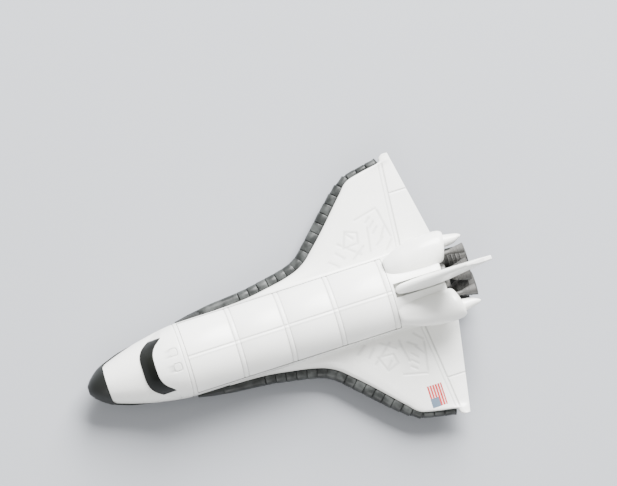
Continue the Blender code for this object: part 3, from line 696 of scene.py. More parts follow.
def mixed(tree, factor, under, over):
    """A colour laid over another where the factor is 1."""
    colours = (c if isinstance(c, bpy.types.NodeSocket) else (*c, 1.0) for c in (under, over))
    inputs = {"Factor": factor, **dict(zip("AB", colours))}
    return node(tree, "ShaderNodeMix", inputs, data_type="RGBA").outputs["Result"]


def finish(name, colours, roughness, grain, wave, relief, edge=0.06, metallic=0.0, specular=0.5, marks=6.0):
    """A material: its colour and its roughness when clean and where it was handled, the sizes of its
    grain and waves, their height in microns, the radius of its moulded edges and the size of marks."""
    made = bpy.data.materials.new(name)
    made.use_nodes = True
    tree = made.node_tree
    sizes = {"Grain size": grain, "Wave size": wave, "Mark size": marks}
    skin = node(tree, "ShaderNodeGroup", sizes, node_tree=SURFACE_GRAIN).outputs
    soft = node(tree, "ShaderNodeGroup", {"Radius": edge}, node_tree=SOFT_EDGES).outputs["Normal"]
    bump = {"Distance": relief * MM * MM, "Height": skin["Height"], "Normal": soft}
    bump = node(tree, "ShaderNodeBump", bump).outputs["Normal"]
    worn = {"Value": skin["Marks"], "To Min": roughness[0], "To Max": roughness[1]}
    worn = node(tree, "ShaderNodeMapRange", worn).outputs["Result"]
    surface = tree.nodes["Principled BSDF"].inputs
    surface["Metallic"].default_value, surface["Specular IOR Level"].default_value = metallic, specular
    tree.links.new(bump, surface["Normal"])
    tree.links.new(worn, surface["Roughness"])
    tree.links.new(mixed(tree, skin["Marks"], *colours), surface["Base Color"])
    return made


def recoloured(material, factor, over):
    """Lays a colour over the one that a finish has, where the factor is 1."""
    tree = material.node_tree
    base = tree.nodes["Principled BSDF"].inputs["Base Color"]
    tree.links.new(mixed(tree, factor, base.links[0].from_socket, over), base)


def painted_groove_shade(material, over):
    """Darkens the colour in the engraved lines by their depth: painted shade that makes them look deeper."""
    tree = material.node_tree
    depth = node(tree, "ShaderNodeAttribute", attribute_name="groove").outputs["Fac"]
    shade = {"Value": depth, "From Max": GROOVE_FULL, "To Max": GROOVE_SHADE}
    recoloured(material, node(tree, "ShaderNodeMapRange", shade).outputs["Result"], over)


# The paint of the casting, with the one marking on the port wing: a block of spanwise red and white
# stripes with a plain dark corner.
PAINT = (0.82, 0.82, 0.79), (0.785, 0.785, 0.755)
# The colour of the painted shade in the engraved lines, the depth at which it is full, and its strength
# there.
GROOVE_PAINTED_SHADE, GROOVE_FULL, GROOVE_SHADE = (0.30, 0.30, 0.29), 0.15, 0.55
COAT, COAT_ROUGHNESS = 0.25, 0.22
STRIPE_RED, STRIPE_WHITE, CORNER_BLUE = (0.42, 0.022, 0.022), (0.72, 0.60, 0.58), (0.10, 0.14, 0.19)
# Out and aft of one corner, and of the other.
MARKING = (18.3, 59.4, 22.4, 62.2)
MARKING_CORNER = (20.7, 59.35, 22.45, 60.95)
STRIPES, RED_SHARE = 11, 0.66


def inside(tree, places, area):
    """A mask that is 1 inside an area."""
    mask = 1.0
    for axis in (0, 1):
        for operation, limit in (("GREATER_THAN", area[axis]), ("LESS_THAN", area[axis + 2])):
            mask = maths(tree, "MULTIPLY", mask, maths(tree, operation, places[axis], limit))
    return mask


def marked_paint():
    """Off-white paint with the striped marking printed on it."""
    made = finish("white_paint", PAINT, (0.27, 0.36), 0.07, 0.9, 3.0)
    # Painted shade darkens the engraved lines of the casting.
    painted_groove_shade(made, GROOVE_PAINTED_SHADE)
    tree = made.node_tree
    surface = tree.nodes["Principled BSDF"].inputs
    surface["Coat Weight"].default_value, surface["Coat Roughness"].default_value = COAT, COAT_ROUGHNESS
    spot = node(tree, "ShaderNodeTexCoord").outputs["Object"]
    to_mm = {"Vector": spot, "Location": (0.0, -cad_low[1] / MM, 0.0), "Scale": (1 / MM, 1 / MM, 1 / MM)}
    spot = node(tree, "ShaderNodeMapping", to_mm, vector_type="POINT").outputs["Vector"]
    places = node(tree, "ShaderNodeSeparateXYZ", {"Vector": spot}).outputs
    count = {"Value": places["Y"], "From Min": MARKING[1], "From Max": MARKING[3], "To Max": STRIPES / 2}
    count = node(tree, "ShaderNodeMapRange", count, clamp=False).outputs["Result"]
    red = maths(tree, "LESS_THAN", maths(tree, "FRACT", count), RED_SHARE)
    recoloured(made, inside(tree, places, MARKING), mixed(tree, red, STRIPE_WHITE, STRIPE_RED))
    recoloured(made, inside(tree, places, MARKING_CORNER), CORNER_BLUE)
    return made


def dressed(piece, material, node_name, body="shell"):
    """Gives a finished piece its material, and says what it rides on and stands for."""
    piece.data.materials.clear()
    piece.data.materials.append(material)
    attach(piece, body)
    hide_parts(node_name)


dressed(casting, marked_paint(), "body_casting")

# The windscreen is a wrap-round pane of glossy black, set in its seat under the brow. It bulges a
# little and stands just proud of the skin round it.
GLOSS_BLACK = (0.0055, 0.006, 0.005), (0.011, 0.012, 0.010)
windscreen = screen_form("black_windscreen", 0.0, SCREEN_PROUD, SCREEN_ROWS)
shaded(windscreen)
black_gloss = finish("black_gloss", GLOSS_BLACK, (0.09, 0.16), 0.1, 1.5, 1.0, specular=0.12)
dressed(windscreen, black_gloss, "windscreen")

# The payload doors are one white moulding, flush with the hull and set down in its seat. Pairs of
# engraved lines part it into panels, and a seam with a raised lip runs along its middle.
COVER_FOOT = BAY[3] + GAP
DOOR_LINES = (27.9, 28.8, 37.3, 38.2, 46.8, 47.7, 57.1)
DOOR_LINE_HALF, DOOR_LINE_DEPTH = 0.19, 0.12
SEAM_OUT, SEAM_HALF, SEAM_DEPTH = -0.12, 0.2, 0.13
LIP_OUT, LIP_HALF, LIP_RISE = 0.32, 0.26, 0.07
COVER_STEPS = 150
COVER_ROUNDING, LINE_ROWS = (0.06, 0.3, 0.65, 1.0), 9
WHITE_PLASTIC = (0.85, 0.85, 0.82), (0.82, 0.82, 0.79)


def cover_rows():
    """Lengths along the cover, close together at its ends and its engraved lines."""
    front, rear = BAY[0], BAY[1]
    rows = [front, rear]
    for share in COVER_ROUNDING:
        rows += [front + EDGE_SOFT * share, rear - EDGE_SOFT * share]
    for line in DOOR_LINES:
        rows += list(line + DOOR_LINE_HALF * np.linspace(-1.0, 1.0, LINE_ROWS))
    return np.unique(np.round(rows, 4))


def payload_cover():
    """The arch of the doors, with its long edges rounded where they meet the hull."""
    front, rear, side = BAY[:3]
    rings, sunk = [], []
    for aft in cover_rows():
        half, crown = hull_at(1, aft), smooth(ROOF, 1, aft)
        first = math.acos(side / half)
        turn = np.linspace(first, math.pi - first, COVER_STEPS + 1)
        x, z = half * np.cos(turn), SPRING + (crown - SPRING) * np.sin(turn)
        depth = DOOR_LINE_DEPTH * max(dip(aft - line, DOOR_LINE_HALF) for line in DOOR_LINES)
        depth = np.maximum(depth, SEAM_DEPTH * dip(x - SEAM_OUT, SEAM_HALF))
        depth -= LIP_RISE * dip(x - LIP_OUT, LIP_HALF)
        depth += rounding(min(aft - front, rear - aft))
        depth += rounding(half * np.minimum(turn - first, math.pi - first - turn))
        over = np.column_stack((x - depth * np.cos(turn), np.full(len(x), aft), z - depth * np.sin(turn)))
        foot = side - GAP / 2
        rings.append([(foot, aft, COVER_FOOT), *over.tolist(), (-foot, aft, COVER_FOOT)])
        sunk.append((0.0, *np.maximum(depth, 0.0), 0.0))
    return loft("white_payload_cover", rings, groove=sunk)


cover = payload_cover()
shaded(cover)
white_plastic = finish("white_plastic", WHITE_PLASTIC, (0.30, 0.40), 0.05, 1.4, 2.0)
# Painted shade darkens the engraved lines of the doors and the fin.
painted_groove_shade(white_plastic, GROOVE_PAINTED_SHADE)
dressed(cover, white_plastic, "payload_bay_cover")

# The fin is a white moulding pushed down into the slot of the rear deck. It is thickest two thirds
# back, and the rudder's joints are engraved on both its sides.
# Up, leading end, trailing end, and half thickness at the nose, two thirds back and at the rear.
FIN = np.array(
    (
        (12.5, 58.75, 68.5, 0.90, 1.15, 0.95),
        (14.3, 58.85, 68.9, 0.90, 1.18, 0.98),
        (16.5, 60.90, 70.0, 0.75, 1.05, 0.88),
        (27.8, 70.20, 75.3, 0.40, 0.56, 0.46),
        (28.9, 71.20, 76.0, 0.34, 0.46, 0.40),
        (29.3, 72.20, 75.8, 0.22, 0.30, 0.26),
    )
)
RUDDER_SHARE, RUDDER_HALF, RUDDER_DEPTH = 0.64, 0.022, 0.09
RUDDER_SPLITS, SPLIT_HALF = (16.9, 22.2), 0.16
# Heights of its sections, close together at the rudder's joints, and how its rear edges are broken.
FIN_LOW = (*np.linspace(12.5, 16.6, 24), *np.arange(16.68, 17.2, 0.06), *np.linspace(17.4, 21.9, 16))
FIN_HIGH = (*np.arange(22.0, 22.45, 0.06), *np.linspace(22.6, 28.2, 18), *np.linspace(28.35, 29.3, 16))
FIN_NOSE, FIN_NOSE_THICK, FULL_THICK = 0.03, 0.72, 0.5
REAR_BREAKS = ((0.0, 0.12), (0.04, 0.04), (0.14, 0.0))


def fin():
    """The fin as rings from its foot to its tip."""
    rings, sunk = [], []
    nose_rows = (1.0 - np.cos(np.linspace(0.0, 0.5, 12) * math.pi)) * 0.1
    about = RUDDER_SHARE + RUDDER_HALF * np.linspace(-1.0, 1.0, LINE_ROWS)
    middle_rows, rear_rows = np.linspace(0.12, RUDDER_SHARE - 0.04, 12), np.linspace(0.69, 0.97, 8)
    share = np.concatenate((nose_rows, middle_rows, about, rear_rows))
    for up in (*FIN_LOW, *FIN_HIGH):
        lead, trail, nose, middle, rear = (np.interp(up, FIN[:, 0], FIN[:, column]) for column in range(1, 6))
        blunt = FIN_NOSE_THICK * nose
        body = np.array(((0.0, 0.0), (FIN_NOSE, blunt), (0.12, nose), (0.62, middle), (1.0, rear)))
        thick = np.where(share < FIN_NOSE, blunt * np.sqrt(share / FIN_NOSE), smooth(body, 1, share))
        depth = RUDDER_DEPTH * dip(share - RUDDER_SHARE, RUDDER_HALF) * (up > RUDDER_SPLITS[0])
        for line in RUDDER_SPLITS:
            depth = np.maximum(depth, RUDDER_DEPTH * dip(up - line, SPLIT_HALF) * (share > RUDDER_SHARE))
        scale = min(1.0, nose / FULL_THICK)
        port = [*zip(thick - depth * scale, lead + (trail - lead) * share)]
        for inward, ahead in REAR_BREAKS:
            port.append((rear - inward * (1.0 if ahead else scale), trail - ahead))
        rings.append([(x, y, up) for x, y in port] + [(-x, y, up) for x, y in reversed(port[1:])])
        side = np.concatenate((depth, np.zeros(len(REAR_BREAKS))))
        sunk.append(np.concatenate((side, side[:0:-1])))
    return loft("white_fin", rings, groove=sunk)


tail = fin()
shaded(tail)
dressed(tail, white_plastic, "tail_fin")

# The underbody is one black satin moulding riveted under the casting. It carries the nose cap, the
# flat belly, the undersides of the wings with the base of the ribbed edge, the gear legs and the
# body flap. The outlines of the gear doors are cut into it round the wheels.
BELLY_UP = 2.4
BILGE, BILGE_STEPS, BILGE_SHARE = 1.1, 8, 0.85
# Aft, and how far the black stands out beyond the white along the nose.
LIP = np.array(((0.0, 0.0), (1.0, 0.05), (3.0, 0.3), (6.5, 0.32), (9.0, 0.15), (11.0, 0.0), (70.0, 0.0)))
CAP_PROUD, CAP_PROUD_FROM, CAP_RINGS = 0.1, 2.5, 30
# The plate under a wing starts inside the hull, at a place given out and aft.
PLATE_START, PLATE_CLEAR, PLATE_BEHIND, PLATE_SPANS = (4.0, 24.0), 0.02, 0.3, 40
PLATE_UNDER, PLATE_INSET, PLATE_HEEL, PLATE_RISE = 2.7, 0.8, 5.0, 0.5
EDGE_START, EDGE_END, EDGE_SAMPLES, EDGE_SECTIONS, NORMAL_SPREAD = 19.0, 63.6, 1200, 220, 9
FLAP_HALF, FLAP_FRONT, FLAP_REAR, FLAP_TAPER = 5.2, 66.5, 72.3, 0.3
FLAP_UNDER, FLAP_TOP, FLAP_THIN = 2.7, 3.75, 0.5
# A leg's edges are rounded over so far across and so far in.
LEG_LENGTH, LEG_FOOT, LEG_ROOT, LEG_ROUNDING, LEG_STEPS = 1.9, 0.85, BELLY_UP + 1.0, (0.12, 0.1), 15
PIN_RADIUS, PIN_CLEAR, BORE_PAST = 0.36, 0.05, 1.0
RIVETS = {"rivet_front": 22.5, "rivet_rear": 61.0}
RIVET_RADIUS, RIVET_DEPTH = 1.4, 0.5
# Out and aft of the middle of each gear door and of one panel, and half its width and its length.
DOORS = ((0.0, 13.6, 2.6, 3.6), (6.9, 50.6, 2.9, 4.3), (-6.9, 50.6, 2.9, 4.3))
DOOR_CUT, DOOR_CUT_DEPTH, CUT_BELOW, CUT_OVERLAP = 0.24, 0.16, 1.0, 0.01
PANEL = (0.0, 41.5, 3.6, 5.4)
ROUND_STEPS = 48
BLACK_PLASTIC = (0.016, 0.0172, 0.0167), (0.027, 0.029, 0.028)
# Painted shade on the tip of the nose: its colour, and how far aft it is full and where it is gone.
NOSE_SHADE_COLOUR, NOSE_SHADE_FADE = (0.0075, 0.0085, 0.0075), (5.5, 7.5)


def belly_ring(aft, top):
    """A section of the lower hull, flat above and below, with rounded bilges."""
    half = hull_at(1, aft) + smooth(LIP, 1, aft)
    low = hull_at(2, aft)
    bend = min(BILGE, (top - low) * BILGE_SHARE)
    lean = np.linspace(0.0, math.pi / 2, BILGE_STEPS)
    across, up = half - bend + bend * np.cos(lean), low + bend - bend * np.sin(lean)
    port = [(half, aft, top), *zip(across, [aft] * BILGE_STEPS, up)]
    return port + [(-x, y, z) for x, y, z in reversed(port)]


def nose_cap():
    """The rounded black tip, as whole rings that end along the swept edge of the white paint."""
    across, over = circle(ARCH_STEPS)
    level = np.minimum(1.0, np.abs(across)) ** 8
    rings = []
    for share in np.linspace(0.0, 1.0, CAP_RINGS) ** 2:
        aft = share * cap_edge(across)
        half, low, spring = (hull_at(column, aft) for column in (1, 2, 3))
        proud = CAP_PROUD * np.minimum(1.0, aft / CAP_PROUD_FROM)
        upper = cone_top(half * across, aft) + proud * (1 - level)
        x = (half + smooth(LIP, 1, aft) * level) * across
        up = np.where(over >= 0.0, upper, spring + (spring - low) * over)
        rings.append(np.stack((x, aft, up), axis=1))
    return loft("nose_cap", rings, shift=0)


def wing_plate(name, side):
    """The black underside of one wing inside its edge."""
    rings = []
    under, over = PLATE_UNDER + PLATE_CLEAR, SPLIT - GAP - PLATE_CLEAR
    spans = [PLATE_START]
    for out in np.linspace(WING_ROOT, TIP_OUT, PLATE_SPANS):
        spans.append((out, smooth(WING_OUTLINE, 1, out) + PLATE_BEHIND))
    for out, lead in spans:
        trail = trail_of(out) - PLATE_INSET
        heel = max(trail - PLATE_HEEL, (trail + lead) / 2)
        outline = ((lead, under), (lead, over), (trail, over))
        outline += ((trail, PLATE_UNDER + PLATE_RISE), (heel, under))
        rings.append([(side * out, aft, z + lift_of(out)) for aft, z in outline])
    return loft(name, rings)


def edge_path(count):
    """Points along the leading edge at even steps, with the outward normal and the edge's width."""
    aft = np.linspace(EDGE_START, EDGE_END, EDGE_SAMPLES)
    by_aft = WING_OUTLINE[:, (1, 0, 2)]
    out = smooth(by_aft, 1, aft)
    run = np.concatenate(((0.0,), np.cumsum(np.hypot(np.diff(out), np.diff(aft)))))
    even = np.linspace(0.0, run[-1], count)
    aft_even, out_even = np.interp(even, run, aft), np.interp(even, run, out)
    d_out, d_aft = np.gradient(out_even), np.gradient(aft_even)
    soft, pad = np.ones(NORMAL_SPREAD) / NORMAL_SPREAD, NORMAL_SPREAD // 2
    d_out, d_aft = (np.convolve(np.pad(d, pad, mode="edge"), soft, mode="valid") for d in (d_out, d_aft))
    size = np.hypot(d_out, d_aft)
    return out_even, aft_even, d_aft / size, -d_out / size, smooth(by_aft, 2, aft_even), even


# The section of the edge's base: how far out in mm and as a share of its width, and how high.
EDGE_SECTION = ((-0.8, 0.0, PLATE_UNDER), (-0.8, 0.0, SPLIT - GAP), (GAP, 0.0, SPLIT - GAP))
EDGE_SECTION += ((GAP, 0.0, SPLIT - 0.02), (0.0, 0.5, SPLIT - 0.06), (-0.1, 0.85, SPLIT - 0.5))
EDGE_SECTION += ((-0.06, 1.0, SPLIT - 0.95), (0.0, 0.7, PLATE_UNDER))


def edge_base(name, side):
    """The base that the raised blocks stand on, along the wing's outline."""
    rings = []
    for out, aft, nx, ny, width, _ in zip(*edge_path(EDGE_SECTIONS)):
        ring = []
        for inset, share, up in EDGE_SECTION:
            reach = inset + share * width
            x, y = out + reach * nx, aft + reach * ny
            ring.append((side * x, y, up + lift_of(x)))
        rings.append(ring)
    return loft(name, rings)


def frame_cuts(name, middle, aft, half, reach, up):
    """Four shallow cuts that outline a rectangle in the belly."""
    inner_half, inner_reach = half - DOOR_CUT, reach - DOOR_CUT
    low, high, side = up - CUT_BELOW, up + DOOR_CUT_DEPTH, inner_reach + CUT_OVERLAP
    walls = ((-half, -reach, half, -inner_reach), (-half, inner_reach, half, reach))
    walls += ((-half, -side, -inner_half, side), (inner_half, -side, half, side))
    made = []
    for i, (x0, y0, x1, y1) in enumerate(walls):
        made.append(block(f"{name}_{i}", (middle + x0, aft + y0, low), (middle + x1, aft + y1, high)))
    return made


def rod(name, middle, radius, reach, axis):
    """A plain round cutter along one axis."""
    one, two = (radius * way for way in circle(ROUND_STEPS))
    rings = []
    for end in (-reach, reach):
        along = np.full(ROUND_STEPS, end)
        ring = np.stack((along, one, two) if axis == "x" else (one, two, along), axis=1)
        rings.append(ring + np.array(middle))
    return loft(name, rings)


def painted_nose_shade(material):
    """Paints shade on the tip of the nose: keeps it darker than the grained plastic behind it."""
    tree = material.node_tree
    spot = node(tree, "ShaderNodeTexCoord").outputs["Object"]
    along = node(tree, "ShaderNodeSeparateXYZ", {"Vector": spot}).outputs["Y"]
    full, gone = (cad_low[1] + aft * MM for aft in NOSE_SHADE_FADE)
    ahead = node(tree, "ShaderNodeMapRange", {"Value": along, "From Min": gone, "From Max": full})
    recoloured(material, ahead.outputs["Result"], NOSE_SHADE_COLOUR)


top = SPLIT - GAP
stations = np.concatenate((np.linspace(3.0, 18.3, 52), (28.0, 57.6, HULL_REAR - 0.3)))
underbody = loft("black_underbody", [belly_ring(aft, top) for aft in stations])
added = [nose_cap()]
for side, end in SIDES:
    added += [wing_plate(f"plate_{end}", side), edge_base(f"edge_{end}", side)]
flap_ends = (FLAP_HALF, FLAP_FRONT, FLAP_UNDER), (FLAP_HALF - FLAP_TAPER, FLAP_REAR, FLAP_TOP - FLAP_THIN)
rings = []
for half, aft, low in flap_ends:
    rings.append([(-half, aft, low), (half, aft, low), (half, aft, FLAP_TOP), (-half, aft, FLAP_TOP)])
added.append(loft("flap", rings))
joined(underbody, added, "UNION")
cuts = wells()
for i, (middle, aft, half, reach) in enumerate(DOORS):
    cuts += frame_cuts(f"door_{i}", middle, aft, half, reach, BELLY_UP if i == 0 else PLATE_UNDER)
cuts += frame_cuts("panel", *PANEL, BELLY_UP)
for name, aft in RIVETS.items():
    cuts.append(rod(f"{name}_seat", (0.0, aft, BELLY_UP), RIVET_RADIUS + PIN_CLEAR, RIVET_DEPTH, "z"))
joined(underbody, cuts, "DIFFERENCE")
legs, bores = [], []
lean = np.linspace(math.pi, 2 * math.pi, LEG_STEPS)
for gear, (out, aft, radius, width, leg) in GEAR.items():
    foot = radius - LEG_FOOT
    inset, trimmed = LEG_ROUNDING
    rings = []
    for x, trim in ((-leg, trimmed), (inset - leg, 0.0), (leg - inset, 0.0), (leg, trimmed)):
        half = LEG_LENGTH / 2 - trim
        ring = [(0.0, -half, LEG_ROOT)]
        ring += [(0.0, half * math.cos(a), foot + trim + half + half * math.sin(a)) for a in lean]
        ring.append((0.0, half, LEG_ROOT))
        rings.append(np.array(ring) + (out + x, aft, 0.0))
    legs.append(loft(f"leg_{gear}", rings))
    bores.append(rod(f"bore_{gear}", (out, aft, radius), PIN_RADIUS + PIN_CLEAR, leg + BORE_PAST, "x"))
joined(underbody, legs, "UNION")
joined(underbody, bores, "DIFFERENCE")
shaded(underbody)
BLACK_LOOK = {"roughness": (0.36, 0.5), "grain": 0.06, "wave": 0.8, "relief": 7.0, "specular": 0.32}
black_plastic = finish("black_plastic", BLACK_PLASTIC, edge=0.08, **BLACK_LOOK)
# Painted shade darkens the tip of the nose.
painted_nose_shade(black_plastic)
dressed(underbody, black_plastic, "underbody")

# The raised blocks of the ribbed edge are moulded with the underbody: one long bar that rises along
# the shoulder, then blocks of one pitch out to the wing tip.
BLOCK_BLACK = (0.015, 0.0165, 0.0158), (0.052, 0.056, 0.054)
PATH_POINTS = 1600
BAR_FROM, BAR_TO, BAR_SLOPE, BAR_END, BAR_FOOT, BAR_SWELL = 23.6, 31.6, 2.4, (0.03, 0.16), -0.3, 0.08
BAR_ROWS, END_ROWS, BLOCK_SHARP = 60, 4, 40.0
BLOCK_PITCH, BLOCK_LENGTH, BLOCK_GAP = 1.95, 1.86, 0.1
BLOCK_ROUNDING, BLOCK_MARKS = 0.13, 2.2
# Out as a share of the edge's width, and up.
BLOCK_SECTION = ((0.06, -0.6), (0.06, 0.37), (0.30, 0.42), (0.58, 0.36), (0.84, 0.10), (0.97, -0.30))
BLOCK_SECTION += ((1.0, -0.72), (0.72, -1.25), (0.3, -1.25))


def edge_bar(name, side):
    """The bar, which swells out of the edge's base at its front and ends in a rounded step."""
    out, aft, nx, ny, width, _ = edge_path(PATH_POINTS)
    first, last = np.searchsorted(aft, (BAR_FROM, BAR_TO))
    rows = np.concatenate((np.linspace(first, last, BAR_ROWS), last - np.arange(END_ROWS)))
    rings = []
    for row in np.unique(rows.astype(int)):
        ends = min((aft[row] - BAR_FROM) / BAR_SLOPE, (BAR_TO + BAR_END[0] - aft[row]) / BAR_END[1], 1.0)
        swell = math.sqrt(max(0.0, 1 - (1 - ends) ** 2))
        ring = []
        for share, up in BLOCK_SECTION:
            reach = share * width[row] * (1.0 - BAR_SWELL + BAR_SWELL * swell)
            x, y = out[row] + reach * nx[row], aft[row] + reach * ny[row]
            foot = min(up, BAR_FOOT)
            ring.append((side * x, y, SPLIT + lift_of(x) + foot + (up - foot) * swell))
        rings.append(ring)
    return loft(name, rings)


def block_shape(name):
    """One rounded block of unit width, which stands along X from its inner edge outwards."""
    shape = bmesh.new()
    rings = []
    for along in (-BLOCK_LENGTH / 2, BLOCK_LENGTH / 2):
        rings.append([shape.verts.new((out, along, up)) for out, up in BLOCK_SECTION])
    count = len(BLOCK_SECTION)
    for i in range(count):
        shape.faces.new((rings[0][i], rings[0][(i + 1) % count], rings[1][(i + 1) % count], rings[1][i]))
    shape.faces.new(rings[0][::-1])
    shape.faces.new(rings[1])
    bmesh.ops.recalc_face_normals(shape, faces=shape.faces[:])
    ends = [edge for edge in shape.edges if abs(edge.verts[0].co.y - edge.verts[1].co.y) < 1e-6]
    bmesh.ops.bevel(shape, geom=ends, offset=BLOCK_ROUNDING, segments=3, profile=0.5, affect="EDGES")
    mesh = bpy.data.meshes.new(name)
    shape.to_mesh(mesh)
    shape.free()
    mesh.shade_smooth()
    mesh.set_sharp_from_angle(angle=math.radians(BLOCK_SHARP))
    return bpy.data.objects.new(name, mesh)


def finished(tree, shape, start, end):
    """Ends a tree with its shape made real, in the material of its input."""
    real = node(tree, "GeometryNodeRealizeInstances", {"Geometry": shape}).outputs["Geometry"]
    skin = {"Geometry": real, "Material": start.outputs["Finish"]}
    skin = node(tree, "GeometryNodeSetMaterial", skin).outputs["Geometry"]
    tree.links.new(skin, end.inputs["Geometry"])


def row_of_blocks():
    """Places one block at every point of a line, turned and widened as the point says."""
    inputs = {"Geometry": ("Geometry",), "Block": ("Object",), "Unit": ("Float", 1.0)}
    inputs["Finish"] = ("Material",)
    tree, start, end = group("Geometry", "row_of_blocks", inputs, {"Geometry": ("Geometry",)})
    source = node(tree, "GeometryNodeObjectInfo", {"Object": start.outputs["Block"]})
    turn, width = (node(tree, "GeometryNodeInputNamedAttribute", {"Name": n}) for n in ("turn", "width"))
    unit = start.outputs["Unit"]
    turn = node(tree, "ShaderNodeCombineXYZ", {"Z": turn.outputs["Attribute"]})
    size = node(tree, "ShaderNodeCombineXYZ", {"X": width.outputs["Attribute"], "Y": unit, "Z": unit})
    stand = {"Points": start.outputs["Geometry"], "Instance": source.outputs["Geometry"]}
    stand.update(Rotation=turn.outputs["Vector"], Scale=size.outputs["Vector"])
    stand = node(tree, "GeometryNodeInstanceOnPoints", stand).outputs["Instances"]
    finished(tree, stand, start, end)
    return tree


def given(target, tree, values):
    """Puts a node tree on an object with its inputs set by their sockets' identifiers."""
    modifier = target.modifiers.new(tree.name, "NODES")
    modifier.node_group = tree
    for item in tree.interface.items_tree:
        if item.in_out == "INPUT" and item.name in values:
            modifier[item.identifier] = values[item.name]


points, turns, widths = [], [], []
out, aft, nx, ny, width, run = edge_path(PATH_POINTS)
spot = np.interp(BAR_TO, aft, run) + BLOCK_PITCH / 2 + BLOCK_GAP
while spot < run[-1] - BLOCK_LENGTH / 2:
    x, y, across, along, wide = (np.interp(spot, run, column) for column in (out, aft, nx, ny, width))
    for side, _ in SIDES:
        points.append((side * x, y, SPLIT + lift_of(x)))
        turns.append(math.atan2(along, side * across))
        widths.append(wide * MM)
    spot += BLOCK_PITCH
line = bpy.data.meshes.new("block_places")
line.from_pydata(placed(points).tolist(), [], [])
noted(line, "turn", turns)
noted(line, "width", widths)
blocks = shown("black_edge_blocks", line)
one_block = block_shape("edge_block")
rubbed_black = finish("rubbed_black", BLOCK_BLACK, edge=0.08, marks=BLOCK_MARKS, **BLACK_LOOK)
given(blocks, row_of_blocks(), {"Block": one_block, "Unit": MM, "Finish": rubbed_black})
settle(blocks)
bpy.data.objects.remove(one_block)
dressed(blocks, rubbed_black, "underbody")
for side, end in SIDES:
    bar = edge_bar(f"black_bar_{end}", side)
    shaded(bar, BLOCK_SHARP)
    dressed(bar, rubbed_black, "underbody")


# The tail plate is dark grey plastic between the pods. It closes the hull, and each main bell
# stands on a low collar of it.
TAIL_OUTLINE = ((6.0, 4.1), (6.2, 7.7), (2.3, 8.5), (2.0, 11.6), (1.5, 12.2))
TAIL_MIDDLE, TAIL_THICK, TAIL_BEND, BEND_SHARE = (0.0, 7.4), 0.9, 0.5, 0.45
# Aft, and how far in from the outline.
TAIL_EDGE = ((0.0, 0.05), (0.06, 0.0), (0.6, 0.0), (0.74, 0.05), (0.84, 0.13), (TAIL_THICK, 0.25))
# Aft, and how far in from the full radius.
COLLAR_WIDE, COLLAR_EDGE, COLLAR_STEPS = 0.34, ((-0.4, 0.0), (0.14, 0.0), (0.22, 0.08)), 64
MAIN_SEAT = 69.02
# Out, up, seat, length and radius at the mouth of each bell.
BELLS = {
    "main_engine_upper": (0.0, 10.3, MAIN_SEAT, 4.1, 2.2),
    "main_engine_port": (2.75, 6.2, MAIN_SEAT, 4.7, 2.3),
    "main_engine_starboard": (-2.75, 6.2, MAIN_SEAT, 4.7, 2.3),
    "orbital_engine_port": (3.9, 11.6, 70.26, 2.9, 0.95),
    "orbital_engine_starboard": (-3.9, 11.6, 70.26, 2.9, 0.95),
}
NECK = 0.42
GREY_PLASTIC = (0.055, 0.054, 0.051), (0.08, 0.077, 0.072)


def rounded(outline, bend):
    """A closed outline with each corner turned into a short curve."""
    corners = np.array(outline)
    points = []
    for before, corner, after in zip(np.roll(corners, 1, axis=0), corners, np.roll(corners, -1, axis=0)):
        ends = []
        for way in (before - corner, after - corner):
            ends.append(corner + way * min(bend / np.linalg.norm(way), BEND_SHARE))
        points += curve(ends[0], corner, ends[1])
    return np.array(points)


face = rounded([*TAIL_OUTLINE, *((-x, z) for x, z in reversed(TAIL_OUTLINE))], TAIL_BEND)
front = HULL_REAR + GAP
reach = face - TAIL_MIDDLE
span = np.linalg.norm(reach, axis=1, keepdims=True)
rings = []
for aft, inset in TAIL_EDGE:
    ring = TAIL_MIDDLE + reach * (1 - inset / span)
    rings.append(np.stack((ring[:, 0], np.full(len(ring), front + aft), ring[:, 1]), axis=1))
bulkhead = loft("grey_tail_plate", rings)
collars = []
for name, (out, up, seat, length, mouth) in BELLS.items():
    if name.startswith("main"):
        across, over = circle(COLLAR_STEPS)
        rings = []
        for aft, trim in COLLAR_EDGE:
            radius = NECK * mouth + COLLAR_WIDE - trim
            along = np.full(COLLAR_STEPS, front + TAIL_THICK + aft)
            rings.append(np.stack((out + radius * across, along, up + radius * over), axis=1))
        collars.append(loft(f"{name}_collar", rings))
joined(bulkhead, collars, "UNION")
shaded(bulkhead)
grey_plastic = finish("grey_plastic", GREY_PLASTIC, (0.42, 0.56), 0.06, 0.8, 5.0, edge=0.08)
dressed(bulkhead, grey_plastic, "engine_bulkhead")

# The engine bells are turned shapes of the same grey plastic, hollow from behind. Their outer walls
# carry low rings and fine flutes.
SEWN_WITHIN, TURNED_SHARP = 1e-6, 36.0
BELL_STEPS, BELL_FLUTES, FLUTE_DEPTH = 144, 24, 0.035
MAIN_RINGS, ORBITAL_RINGS, ORBITAL_LEAD = (0.26, 0.42, 0.58, 0.74), (0.4, 0.62), 1.2
RING_HALF, RING_HIGH, RING_STEPS = 0.028, 0.045, 7
# The wall flares from one share of the length to another, where it has that same share of the
# mouth's radius. From there the rolled lip is given as shares of both.
FLARE_FROM, FLARE_TO, FLARE_POWER = 0.12, 0.97, 0.72
BELL_LIP = ((0.975, 0.985), (0.985, 1.0), (0.995, 0.985), (1.0, 0.95))
FLUTES_FROM = 0.16
# The radius of the hollow as a share of the mouth's, and its throat as shares of both.
HOLLOW, HOLLOW_POWER, THROAT, THROAT_END = 0.9, 1.1, (0.3, 0.3), ((0.27, 0.2), (0.26, 0.0))
# The turn from the X axis to each axis that a shape may be turned about.
AXIS_TURN = {"across": (0.0, 0.0, 0.0), "aft": (0.0, 0.0, math.pi / 2), "up": (0.0, -math.pi / 2, 0.0)}


